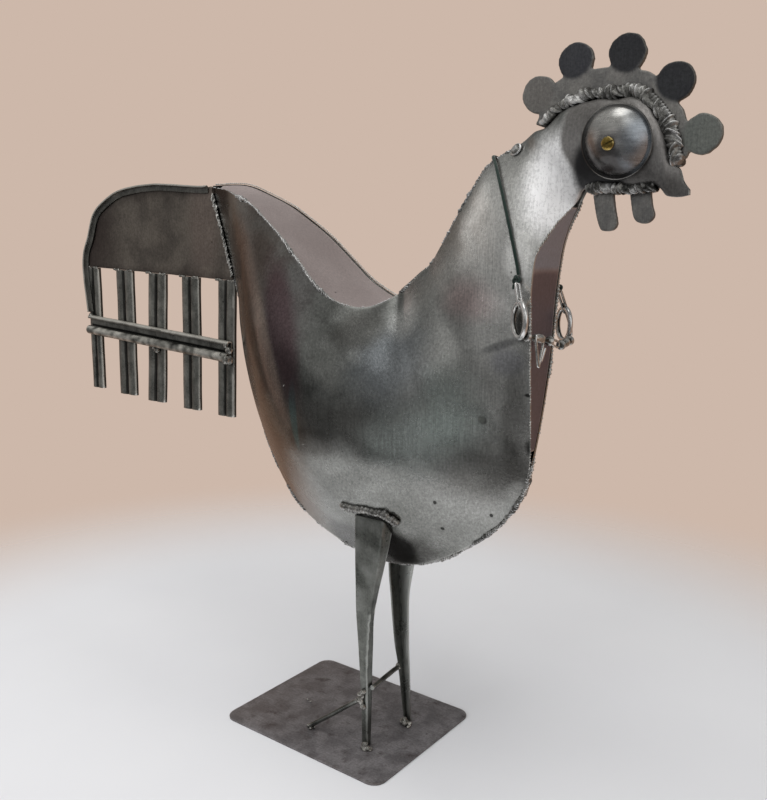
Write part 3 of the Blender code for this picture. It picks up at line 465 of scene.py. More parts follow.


# Mild steel sheet, sanded along the bird, part polished and coloured by the torch: grey metal with a soft,
# broken shine, straw, brown and violet tints, and white where it is polished. Some patches are painted light
# instead: highlights, reflections and the shadows of the bit, the eye and the legs, marked below. Real
# sanding marks are 0.1 mm wide. They are drawn 0.8 mm wide and 40 mm long, so that they show.
BODY_STEEL = MetalFinish(
    "sanded_sheet_steel", "body_steel", "#868783", "#a3a4a0", "#c9c9c4", 0.24, speckle=1.5,
    speckle_depth=0.24, scratch=(0.8, 0.8, 40.0), scratch_depth=0.18, wave=0.3, grain=0.06,
    soot=0.55,
    tints=(
        Tint((112, 0, 268), (48, 90, 78), "#e2e2de", 0.85, 0.05, soft=1.1),
        Tint((120, 0, 288), (18, 90, 22), "#d2d2ce", 0.7, soft=1.1, scatter=0.25),
        Tint((100, 0, 304), (18, 90, 12), "#dcc0be", 0.6, soft=1.2, ragged=1.2, scatter=0.04),
        Tint((-60, 0, 300), (34, 90, 70), "#80695e", 0.6),
        Tint((-22, 0, 275), (20, 90, 46), "#7b686c", 0.5),
        Tint((54, 0, 262), (22, 90, 28), "#a4acb5", 0.5, soft=1.3, ragged=1.2),
        # Painted reflections below the saddle: two darker patches and a bright highlight.
        Tint((29, 0, 281), (14, 90, 12), "#6b6a66", 0.75),
        Tint((41, 0, 291), (10, 90, 11), "#5f5f5b", 0.65, soft=1.2),
        Tint((55, 0, 291), (9, 90, 11), "#e6e6e2", 0.7, soft=1.2, scatter=0.05),
        # A painted reflection: a darker band across the lower body, where the dim room is mirrored.
        Tint((24, 0, 226), (42, 90, 15), "#8a8985", 0.75, soft=0.7, ragged=0.6),
        Tint((6, 0, 212), (27, 90, 12), "#74736f", 0.8, soft=0.5, ragged=0.5),
        Tint((-6, 0, 228), (4, 90, 24), "#7fa0a2", 0.75, soft=0.4, ragged=0.4),
        # Painted reflections: lighter patches low on the body's front.
        Tint((80, 0, 221), (32, 90, 19), "#ccd6d2", 0.75, soft=1.3, ragged=1.3, scatter=0.1),
        Tint((93, 0, 238), (17, 90, 24), "#bccac4", 0.6, soft=1.3, ragged=1.3, scatter=0.05),
        # A painted shadow of the bit's ring on the body behind it.
        Tint((136, -13, 290.5), (5, 14, 9), "#333332", 0.85, soft=0.5, ragged=0.4),
        Tint((123, -14, 278.5), (12, 16, 2.4), "#54555a", 0.6, soft=1.1, lean=-20),
        Tint((127, 0, 269), (10, 90, 8), "#9a9ba6", 0.5),
        Tint((132, 0, 228), (9, 90, 36), "#7a7874", 0.6),
        # Painted shade low on the breast.
        Tint((109, 0, 203), (26, 90, 18), "#5b5955", 0.75, soft=1.1),
        Tint((8, 0, 139), (26, 90, 14), "#5e5e5d", 0.7),
        # A painted shadow of the right leg on the belly.
        Tint((47, -8, 140), (14, 18, 14), "#2c2c2a", 0.85, soft=0.5, ragged=0.2),
        Tint((-44, 0, 186), (36, 90, 60), "#85766a", 0.7, soft=0.9),
        Tint((-51, -41, 283), (6, 40, 40), "#54504a", 0.6, ragged=0.5, lean=-26),
        Tint((-21, -45, 283), (11, 40, 48), "#7a6166", 0.7, ragged=0.5, lean=-22),
        Tint((-56, -38, 316), (4.5, 40, 38), "#97877d", 0.6, ragged=0.5, lean=-31),
        Tint((-30, -46, 264), (6.5, 40, 42), "#c7b3a6", 0.7, ragged=0.5, scatter=0.04, lean=-21),
        Tint((-118, 0, 368), (20, 90, 16), "#2a2827", 0.85),
        Tint((131, 0, 190), (6, 60, 6), "#cfcfca", 0.6, soft=0.9, ragged=1.2),
        Tint((122, 0, 346), (31, 90, 40), "#dededa", 0.75, soft=1.0, ragged=0.8, scatter=0.36),
        # Painted highlights: a gleam on the neck and a line of light along its back edge.
        Tint((134, 0, 325), (9, 90, 14), "#ecece8", 0.8, soft=1.1, scatter=0.28),
        *(Tint((x, 0, z), (5, 90, 8), "#f4f4f0", 0.6, soft=1.5, scatter=0.14)
          for x, z in ((105, 361), (99, 353), (92, 345))),
        Tint((153, 0, 367), (22, 90, 29), "#ffffff", 1.0, 0.08, ragged=0.6, scatter=0.45),
        Tint((203, 0, 393), (52, 90, 37), "#5f5d5b", 0.97, 0.14, soft=0.1, ragged=0.1, scatter=0.5),
        # Painted highlights beside the eye.
        Tint((202, 0, 400), (9, 90, 12), "#a9a7a5", 0.8, soft=1.0, scatter=0.2),
        Tint((209, 0, 384), (9, 90, 14), "#8f8d8b", 0.6, soft=1.0),
        # A painted shadow under the eye's dome.
        Tint((173, 0, 373), (14, 90, 17), "#0e0e10", 0.95, soft=0.4, ragged=0.2),
        # A small dent drawn as a painted dark crescent with a painted highlight beside it.
        Tint((113.6, -16, 234), (1.6, 12, 2.1), "#3f3e3a", 0.6, soft=0.6, ragged=0.8),
        Tint((112.4, -16, 234.8), (1.7, 12, 2), "#a9ada6", 0.9, soft=0.4, ragged=0.4),
        Tint((139.2, -12, 251), (2.4, 14, 1.1), "#1b1b1a", 0.85, soft=0.7),
        Tint((138.4, -8, 219), (2.6, 14, 5), "#20201e", 0.8, soft=1.0),
        Tint((82.5, -18, 179.6), (1, 12, 1.3), "#2b2a28", 0.9, soft=0.5, ragged=0.4),
        Tint((113.9, -4, 174), (1, 12, 1.2), "#2b2a28", 0.9, soft=0.5, ragged=0.4),
        Tint((83.4, -11, 161.2), (1.1, 12, 1), "#2b2a28", 0.9, soft=0.5, ragged=0.4),
    ),
)
# The same sheet, left as it was rolled: dull and satin, with a violet cast. On the breast a painted
# reflection makes the upper part paler, and painted shade darkens the part below it.
INNER_STEEL = MetalFinish(
    "dull_sheet_steel", "inner_steel", "#cabcba", "#d2c5c3", "#d6cdc9", 0.42, bare=0.8, blotch=40.0,
    grain=0.04, speckle_depth=0.1, soot=0.4,
    tints=(
        # A painted reflection on the upper breast, then painted shade below it.
        Tint((150, 0, 342), (30, 90, 22), "#a4a9b6", 0.95, soft=0.2, ragged=0.1, scatter=0.34),
        Tint((141, 0, 245), (20, 90, 76), "#7b737c", 0.95, soft=0.08, ragged=0.06),
    ),
)
# Hot-rolled plate in its mill scale: dark and nearly matt, with brown clouds 18 mm wide, and lighter
# where its edges are worn. Its marks run across it, 9 mm long.
PLATE_STEEL = MetalFinish(
    "mill_scale_plate", "plate_steel", "#6d6a6c", "#8b888a", "#8d7f70", 0.4, bare=0.6, blotch=18.0,
    scratch=(9.0, 0.8, 2.0), stain="#514a4a", stain_cover=0.35,
)
# Hot-rolled strip, folded cold: dark satin grey with clouds 16 mm wide, and bright folds that are partly
# worn metal and partly painted highlight.
LEG_STEEL = MetalFinish(
    "rolled_strip_steel", "leg_steel", "#62645f", "#7c7e79", "#c4c6c1", 0.3, bare=0.9, blotch=16.0,
)
# Mild steel plate, flame cut and blackened by the heat: dull, and darkest on its three upper lobes.
COMB_STEEL = MetalFinish(
    "flame_cut_plate", "comb_steel", "#6c6b69", "#82807c", "#8f8a80", 0.38, bare=0.5, blotch=12.0,
    tints=(
        Tint((133.7, 0, 415.3), (8.5, 20, 9.5), "#74716d", 0.85, soft=0.4, ragged=0.2),
        Tint((153.5, 0, 432), (10.5, 20, 10.5), "#3d3e42", 0.95, soft=0.25, ragged=0.25),
        Tint((182.5, 0, 433.5), (11, 20, 12.5), "#303134", 0.95, soft=0.25, ragged=0.25),
        Tint((209.5, 0, 416), (11, 20, 11), "#303134", 0.95, soft=0.25, ragged=0.25),
        Tint((223.1, 0, 388.6), (9.5, 20, 9.5), "#6c706b", 0.85, soft=0.4, ragged=0.2),
    ),
)
# Dark rolled sheet, never sanded: brown-black and satin, darker along its rim, its bottom and its left end,
# with painted shade in the corners under its rim and at its welds.
TAIL_STEEL = MetalFinish(
    "dark_rolled_sheet", "tail_steel", "#5d5751", "#706961", "#8c8277", 0.42, bare=0.6, blotch=24.0,
    soot=0.8, soot_reach=9.0,
    tints=(
        Tint((-282, 0, 340), (32, 30, 50), "#3d3431", 0.8, soft=1.2),
        Tint((-205, 0, 384), (100, 30, 14), "#37302d", 0.7, soft=1.0),
        Tint((-200, 0, 306), (110, 30, 9), "#453d39", 0.6, soft=0.9, ragged=1.3),
        Tint((-140, 0, 350), (16, 30, 40), "#80736b", 0.6, soft=1.0),
    ),
)
# Cold-folded steel channel and angle: grey, with bright folds and edges that are partly worn metal and
# partly painted highlight, and painted shade that blackens its slots and corners.
RIB_STEEL = MetalFinish(
    "folded_channel_steel", "rib_steel", "#85857f", "#a3a29b", "#e2dfd6", 0.3, bare=0.75, blotch=10.0,
    soot=0.92, soot_reach=5.0,
)
# A bell's dome, spun from steel sheet and polished: a smooth grey mirror, with painted shade on its lower
# half and left side, and painted highlights at its top and right.
# Its polishing marks are finer than 0.1 mm. They are drawn 0.9 mm apart, so that they show.
DOME_STEEL = MetalFinish(
    "spun_bell_steel", "dome_steel", "#a8a5a2", "#c2bfbb", "#dedbd5", 0.24, bare=0.93, blotch=9.0,
    speckle_depth=0.12, scratch=(9.0, 9.0, 0.9), scratch_depth=0.22, wave=0.05, grain=0.02, soot=0.9,
    soot_reach=4.0,
    tints=(
        # Painted shade on the lower half and the left side, then painted highlights at the right and the
        # top.
        Tint((178, 0, 368), (30, 60, 14), "#464545", 0.92, ragged=0.5),
        Tint((164, 0, 386), (8, 60, 22), "#6f6d6c", 0.8, ragged=0.5),
        Tint((198, 0, 387), (9, 60, 17), "#aab2ba", 0.9, soft=1.0, ragged=0.4, scatter=0.06),
        Tint((181, 0, 397), (13, 60, 6), "#dcdcd8", 0.6, soft=1.1, ragged=0.8, scatter=0.05),
    ),
)
# Arc weld metal as it cooled: rippled, with slag pits about 1.2 mm wide, painted shade that blackens its
# hollows, and painted highlights on its crests.
WELD_METAL = MetalFinish(
    "stick_weld_bead", "weld_metal", "#62615e", "#a3a29d", "#ffffff", 0.26, bare=0.8, blotch=7.0,
    speckle=1.2, speckle_depth=0.35, wave=0.1, grain=0.12, worn_from=0.505, worn_to=0.57, soot=0.98,
    soot_reach=2.7,
)
# The same weld metal, wire brushed: silver nearly all over, with painted shade that blackens only its
# deepest hollows.
BRIGHT_WELD = MetalFinish(
    "freshly_brushed_weld", "weld_metal", "#74736e", "#b4b2ac", "#fbfaf5", 0.22, bare=0.8, blotch=3.0,
    speckle=1.2, speckle_depth=0.35, wave=0.1, worn_from=0.52, worn_to=0.6, soot=0.97, soot_reach=2.2,
)
# Brass, turned and lightly tarnished: warm yellow metal with brown bloom 2.5 mm wide.
BRASS = MetalFinish(
    "turned_brass", "brass", "#b4964a", "#d2b566", "#f0dea0", 0.28, blotch=2.5, wave=0.0, grain=0.03,
    stain="#4d3f22", stain_cover=0.3,
)
# Nickel plate on a forged bit, much worn: bright on its rounds, partly worn metal and partly painted
# highlight, brown-black where the plate is lost, and painted shade in its hollows and gaps.
NICKEL = MetalFinish(
    "worn_nickel_plate", "bit_nickel", "#a09f99", "#dbd9d3", "#ffffff", 0.14, bare=0.88, blotch=3.0,
    wave=0.0, grain=0.05, stain="#37322b", stain_cover=0.5, worn_from=0.51, worn_to=0.62, soot=0.98,
    soot_reach=3.2,
)
# Braided polyester cord, dyed a dark green: matt, with a soft sheen. Its fibres are too fine to
# show, so they are drawn as tufts of 1.1 mm.
GREEN_CORD = CordFinish("braided_polyester_cord", "cord", "#020e0b", "#0a2a21")


def deselect_all() -> None:
    """Leaves edit mode and deselects everything."""
    if bpy.context.object and bpy.context.object.mode != "OBJECT":
        bpy.ops.object.mode_set(mode="OBJECT")
    bpy.ops.object.select_all(action="DESELECT")


def activate(piece: Piece) -> None:
    """Makes a piece the only selected object, and the active one.

    Args:
        piece: The piece.
    """
    deselect_all()
    piece.select_set(True)
    bpy.context.view_layer.objects.active = piece


def edit_whole(piece: Piece) -> None:
    """Opens a piece in edit mode with all of it selected.

    Args:
        piece: The piece.
    """
    activate(piece)
    bpy.ops.object.mode_set(mode="EDIT")
    bpy.ops.mesh.select_all(action="SELECT")


def apply_modifier(piece: Piece, kind: str, **settings: object) -> None:
    """Adds a modifier with these settings to a piece and applies it.

    Args:
        piece: The piece.
        kind: The modifier's type.
        settings: Its values by property name.
    """
    activate(piece)
    modifier = piece.modifiers.new(kind.lower(), kind)
    for name, value in settings.items():
        setattr(modifier, name, value)
    bpy.ops.object.modifier_apply(modifier=modifier.name)


def new_piece(name: str) -> Piece:
    """Names the object that an operator has just added.

    Args:
        name: Its name.

    Returns:
        The object.
    """
    piece = bpy.context.object
    piece.name = name
    piece.data.name = name
    return piece


def grid_sheet(
    name: str, columns: int, rows: int, surface: Callable[[float, float], Sequence[float]]
) -> Piece:
    """A sheet shaped from a flat grid.

    Args:
        name: The piece's name.
        columns: Faces along the first direction.
        rows: Faces along the second direction.
        surface: Gives the place in millimetres of a point, from its two shares across the grid.

    Returns:
        The sheet, one face thick.
    """
    deselect_all()
    bpy.ops.mesh.primitive_grid_add(x_subdivisions=columns, y_subdivisions=rows, size=1.0)
    piece = new_piece(name)
    for vertex in piece.data.vertices:
        u, v = vertex.co.x + 0.5, vertex.co.y + 0.5
        vertex.co = Vector(surface(min(1.0, max(0.0, u)), min(1.0, max(0.0, v)))) * MM
    return piece


def face_towards(piece: Piece, direction: Place) -> None:
    """Turns a sheet's faces so that most of its area faces a direction.

    Args:
        piece: The sheet.
        direction: Where it is to face.
    """
    piece.data.update()
    wanted = Vector(direction)
    lean = sum(face.normal.dot(wanted) * face.area for face in piece.data.polygons)
    if lean < 0:
        piece.data.flip_normals()


def smooth(piece: Piece, degrees: float) -> None:
    """Shades a piece smooth, but for edges sharper than an angle."""
    activate(piece)
    bpy.ops.object.shade_smooth_by_angle(angle=math.radians(degrees))


def close_mesh() -> None:
    """Turns the edited mesh's faces outwards and leaves edit mode."""
    bpy.ops.mesh.select_all(action="SELECT")
    bpy.ops.mesh.normals_make_consistent(inside=False)
    bpy.ops.object.mode_set(mode="OBJECT")


def thicken(piece: Piece, thickness: float, offset: float) -> None:
    """Gives a sheet its wall. Offset -1 lays it behind the faces, 0 on both sides of them."""
    apply_modifier(
        piece, "SOLIDIFY", thickness=thickness * MM, offset=offset, use_even_offset=True,
        use_quality_normals=True,
    )


def soften(piece: Piece, width: float, angle: float = 40.0, segments: int = 2) -> None:
    """Rounds a piece's sharp edges and shades it smooth.

    Args:
        piece: The piece.
        width: The round's width.
        angle: The least angle of a sharp edge, in degrees.
        segments: Faces across the round.
    """
    apply_modifier(
        piece, "BEVEL", width=width * MM, segments=segments, limit_method="ANGLE",
        angle_limit=math.radians(angle), harden_normals=True,
    )
    smooth(piece, 35)


def extruded(name: str, corners: Sequence[Place], rise: Place) -> Piece:
    """A flat outline drawn out to a solid.

    Args:
        name: The piece's name.
        corners: The outline's corners.
        rise: How far, and which way, it is drawn out.

    Returns:
        The solid.
    """
    deselect_all()
    bpy.ops.mesh.primitive_circle_add(vertices=len(corners), fill_type="NGON")
    piece = new_piece(name)
    for vertex, corner in zip(piece.data.vertices, corners):
        vertex.co = Vector(corner) * MM
    edit_whole(piece)
    bpy.ops.mesh.extrude_region_move(TRANSFORM_OT_translate={"value": tuple(value * MM for value in rise)})
    close_mesh()
    return piece


def cut_plate(name: str, outline: Sequence[Flat], thickness: float, voxel: float, ripple: float) -> Piece:
    """A plate in the bird's middle plane, flame cut to an outline.

    Args:
        name: The piece's name.
        outline: Its corners (x, z).
        thickness: Its thickness.
        voxel: The size of the mesh that its edges are melted round with.
        ripple: How far its faces wander from flat.

    Returns:
        The finished plate.
    """
    piece = extruded(name, [(x, -thickness / 2, z) for x, z in outline], (0, thickness, 0))
    apply_modifier(piece, "REMESH", mode="VOXEL", voxel_size=voxel * MM, use_smooth_shade=True)
    apply_modifier(piece, "SMOOTH", factor=0.5, iterations=3)
    for vertex in piece.data.vertices:
        x, _, z = vertex.co / MM
        vertex.co.y += ripple * wander((x, 0, z), 26.0) * MM
    return piece


def turn_upright(axis: Sequence[float], centre: Sequence[float]) -> Matrix:
    """The transform that takes a thing made along Z at the origin to an axis through a centre."""
    spin = Vector((0, 0, 1)).rotation_difference(Vector(axis).normalized())
    return Matrix.Translation(Vector(centre) * MM) @ spin.to_matrix().to_4x4()


def turned(
    name: str, profile: Sequence[Flat], steps: int, axis: Sequence[float], centre: Sequence[float],
    hollow: bool = False,
) -> Piece:
    """A piece spun on a lathe.

    Args:
        name: The piece's name.
        profile: Its corners (radius, height). They close on themselves if hollow, else on the axis.
        steps: Faces round it.
        axis: The direction of its axis.
        centre: Where its height is 0.
        hollow: Whether the profile is that of a ring-shaped wall.

    Returns:
        The piece in its place.
    """
    deselect_all()
    bpy.ops.mesh.primitive_circle_add(vertices=len(profile), fill_type="NOTHING")
    piece = new_piece(name)
    for vertex, (radius, height) in zip(piece.data.vertices, profile):
        vertex.co = Vector((radius, 0, height)) * MM
    edit_whole(piece)
    bpy.ops.mesh.spin(steps=steps, angle=2 * math.pi, center=(0, 0, 0), axis=(0, 0, 1))
    bpy.ops.mesh.select_all(action="SELECT")
    bpy.ops.mesh.remove_doubles(threshold=MERGE)
    bpy.ops.mesh.dissolve_degenerate(threshold=MERGE)
    if not hollow:
        bpy.ops.mesh.delete_loose(use_verts=True, use_edges=True, use_faces=False)
    close_mesh()
    piece.data.transform(turn_upright(axis, centre))
    smooth(piece, 32)
    return piece


def bent_wire(name: str, path: Path, diameter: float, closed: bool = False, sides: int = 3) -> Piece:
    """Round wire bent along a path.

    Args:
        name: The piece's name.
        path: The points of its middle line.
        diameter: The wire's diameter.
        closed: Whether its ends are joined.
        sides: The wire's roundness, as its bevel resolution.

    Returns:
        The wire as a mesh.
    """
    curve = bpy.data.curves.new(name, "CURVE")
    curve.dimensions = "3D"
    curve.bevel_depth = diameter / 2 * MM
    curve.bevel_resolution = sides
    curve.use_fill_caps = True
    spline = curve.splines.new("POLY")
    spline.points.add(len(path) - 1)
    for target, point in zip(spline.points, path):
        target.co = (*(Vector(point) * MM), 1.0)
    spline.use_cyclic_u = closed
    piece = bpy.data.objects.new(name, curve)
    bpy.context.scene.collection.objects.link(piece)
    activate(piece)
    bpy.ops.object.convert(target="MESH")
    piece = new_piece(name)
    smooth(piece, 50)
    return piece


def paint_wear(piece: Piece, wear: Callable[[Vector], float]) -> None:
    """Stores how each point of a piece is lightened or darkened, from 1 where it is bright to -1 where it is
    black: partly worn and scaled metal, partly painted highlight and shade.

    Args:
        piece: The piece.
        wear: Gives how worn a place in millimetres is, and how it is painted for light and shade.
    """
    layer = piece.data.attributes.new(WEAR_AND_LIGHT, "FLOAT", "POINT")
    for vertex, stored in zip(piece.data.vertices, layer.data):
        stored.value = max(-1.0, min(1.0, wear(vertex.co / MM)))


def joined(name: str, pieces: Sequence[Piece]) -> Piece:
    """Joins pieces into one object.

    Args:
        name: Its name.
        pieces: The pieces.

    Returns:
        The joined piece.
    """
    activate(pieces[0])
    for other in pieces[1:]:
        other.select_set(True)
    bpy.ops.object.join()
    return new_piece(name)


class Bead(Enum):
    """How a weld was laid: width, height, pitch, swirl, lean and fullness of its puddles, and its voxel."""

    ROPE = (9.0, 3.9, 1.75, 85.0, 34.0, 0.34, 0.34)
    THICK = (7.6, 3.7, 1.7, 80.0, 34.0, 0.34, 0.34)
    FILLET = (6.6, 3.0, 1.8, 35.0, 18.0, 0.75, 0.36)
    CRUST = (4.2, 2.1, 1.5, 90.0, 36.0, 0.36, 0.32)
    SCAB = (5.0, 2.4, 1.6, 90.0, 36.0, 0.36, 0.34)
    SEAM = (2.4, 1.1, 1.7, 40.0, 22.0, 0.7, 0.36)
    BEADED = (2.6, 1.3, 2.2, 60.0, 10.0, 0.8, 0.34)
    FINE = (1.7, 0.8, 1.6, 40.0, 18.0, 0.5, 0.36)


@dataclass
class Welder:
    """Lays weld beads as rows of overlapping puddles that are then melted into one skin."""

    seed: int = 11
    puddle_points: tuple[Vector, ...] = ()
    puddle_faces: tuple[tuple[int, ...], ...] = ()

    def __post_init__(self) -> None:
        """Models the one puddle that every bead repeats."""
        deselect_all()
        bpy.ops.mesh.primitive_ico_sphere_add(subdivisions=2, radius=1.0)
        puddle = bpy.context.object
        self.puddle_points = tuple(vertex.co.copy() for vertex in puddle.data.vertices)
        self.puddle_faces = tuple(tuple(face.vertices) for face in puddle.data.polygons)
        bpy.data.objects.remove(puddle, do_unlink=True)

    def lay(
        self, name: str, runs: Sequence[tuple[Path, Sequence[float]]], bead: Bead,
        scale: float = 1.0, widths: Sequence[float] = (1.0, 1.0), patchy: float = 0.0,
    ) -> Piece:
        """Lays one bead over one or more runs.

        Args:
            name: The piece's name.
            runs: Each run's path and the direction that it stands out in.
            bead: How it is laid.
            scale: A factor on its size.
            widths: Factors on its width, evenly spread along each run.
            patchy: How uneven it is, from 0 to 1, where metal is missing in places.

        Returns:
            The bead.
        """
        width, height, pitch, swirl, lean, full, voxel = bead.value
        chance = random.Random(f"{self.seed} {name}")
        points: list[Vector] = []
        faces: Faces = []
        for path, outward in runs:
            spots = even_points(path, pitch * scale)
            for k, spot in enumerate(spots):
                ahead = Vector(spots[min(k + 1, len(spots) - 1)]) - Vector(spots[max(k - 1, 0)])
                ahead.normalize()
                out = Vector(outward) - ahead * Vector(outward).dot(ahead)
                out.normalize()
                broad = curve_point([(w,) for w in widths], k / len(spots) * (len(widths) - 1))[0]
                turn = swirl * (wander((k * pitch, 0, 0), 9.0, self.seed + 3.0) * 1.5 + 0.35)
                turn += chance.uniform(-0.25, 0.25) * swirl
                basis = self.basis(ahead, out, turn, -lean * chance.uniform(0.5, 1.3))
                thin = min(1.0, max(0.0, 0.5 + 1.3 * wander((k * pitch, 0, 0), 13.0, len(name) + 0.5)))
                fill = 1.0 - patchy * (0.7 * thin + 0.3 * chance.random())
                size = Vector((
                    height * chance.uniform(0.8, 1.1) * full, width / 2 * chance.uniform(0.75, 1.1) * broad,
                    height * chance.uniform(0.8, 1.15),
                )) * scale * fill
                across = ahead.cross(out).normalized()
                centre = Vector(spot) + across * chance.uniform(-0.1, 0.1) * width * scale
                self.drop(points, faces, centre, basis, size)
                core = Vector((pitch * 0.9, width * 0.34 * broad, height * 0.5)) * scale * fill
                self.drop(points, faces, Vector(spot), self.basis(ahead, out, 0.0, 0.0), core)
        return self.melted(name, points, faces, voxel, 1)

    def melted(self, name: str, points: list[Vector], faces: Faces, voxel: float, passes: int) -> Piece:
        """Melts overlapping puddles into one skin.

        Args:
            name: The piece's name.
            points: Their points.
            faces: Their faces.
            voxel: The size of the mesh that the skin is made of.
            passes: How often it is smoothed.

        Returns:
            The skin.
        """
        mesh = bpy.data.meshes.new(name)
        mesh.from_pydata([point * MM for point in points], [], faces)
        piece = bpy.data.objects.new(name, mesh)
        bpy.context.scene.collection.objects.link(piece)
        apply_modifier(piece, "REMESH", mode="VOXEL", voxel_size=voxel * MM, use_smooth_shade=True)
        apply_modifier(piece, "SMOOTH", factor=0.5, iterations=passes)
        return piece

    def basis(self, ahead: Vector, out: Vector, turn: float, lean: float) -> Matrix:
        """The turned and leaning axes of one puddle: along, across and out of the work.

        Args:
            ahead: The bead's direction.
            out: The direction out of the work.
            turn: Its turn on the work, in degrees.
            lean: How far it leans back, in degrees.

        Returns:
            The axes, as a matrix's columns.
        """
        x = ahead.normalized()
        z = out
        y = z.cross(x)
        frame = Matrix((x, y, z)).transposed()
        swirled = frame @ Matrix.Rotation(math.radians(turn), 3, "Z")
        return swirled @ Matrix.Rotation(math.radians(lean), 3, "Y")

    def drop(
        self, points: list[Vector], faces: Faces, centre: Vector, basis: Matrix, size: Vector
    ) -> None:
        """Adds one puddle of a size at a centre.

        Args:
            points: Takes its points.
            faces: Takes its faces.
            centre: Its middle.
            basis: Its axes.
            size: Its half-lengths along them.
        """
        first = len(points)
        for point in self.puddle_points:
            points.append(centre + basis @ Vector(a * b for a, b in zip(point, size)))
        faces += [tuple(first + index for index in face) for face in self.puddle_faces]

    def spots(
        self, name: str, centres: Sequence[tuple[Place, float]], lowest: float = -1000.0, voxel: float = 0.3
    ) -> Piece:
        """Leaves separate tacks or spatter, each an uneven drop.

        Args:
            name: The piece's name.
            centres: Each drop's place and radius.
            lowest: The height that they are flattened at, where they sit on the plate.
            voxel: The size of the mesh that the drops are melted with.

        Returns:
            All the drops as one piece.
        """
        chance = random.Random(f"{self.seed} {name}")
        points: list[Vector] = []
        faces: Faces = []
        for centre, radius in centres:
            for _ in range(3):
                shift = Vector([chance.uniform(-0.4, 0.4) * radius for _ in range(3)])
                size = Vector([radius * chance.uniform(0.6, 1.0) for _ in range(3)])
                self.drop(points, faces, Vector(centre) + shift, Matrix.Identity(3), size)
        piece = self.melted(name, points, faces, voxel, 10)
        for vertex in piece.data.vertices:
            vertex.co.z = max(vertex.co.z, lowest * MM)
        return piece


@dataclass
class Workshop:
    """Keeps one material for each finish, and hands each finished piece over."""

    welder: Welder
    materials: dict[str, bpy.types.Material]

    def deliver(self, piece: Piece, finish: MetalFinish | CordFinish, nodes: Sequence[str] = ()) -> Piece:
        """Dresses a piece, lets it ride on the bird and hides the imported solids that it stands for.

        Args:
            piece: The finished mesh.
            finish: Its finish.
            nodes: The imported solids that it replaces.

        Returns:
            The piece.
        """
        if finish.name not in self.materials:
            self.materials[finish.name] = finish.make()
        piece.data.materials.clear()
        piece.data.materials.append(self.materials[finish.name])
        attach(piece, BODY)
        if nodes:
            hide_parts(*nodes)
        LOG.info("%s: %d faces, %s", piece.name, len(piece.data.polygons), finish.name)
        return piece


@dataclass
class SubAssembly:
    """A part of the bird whose pieces one workshop makes."""

    shop: Workshop


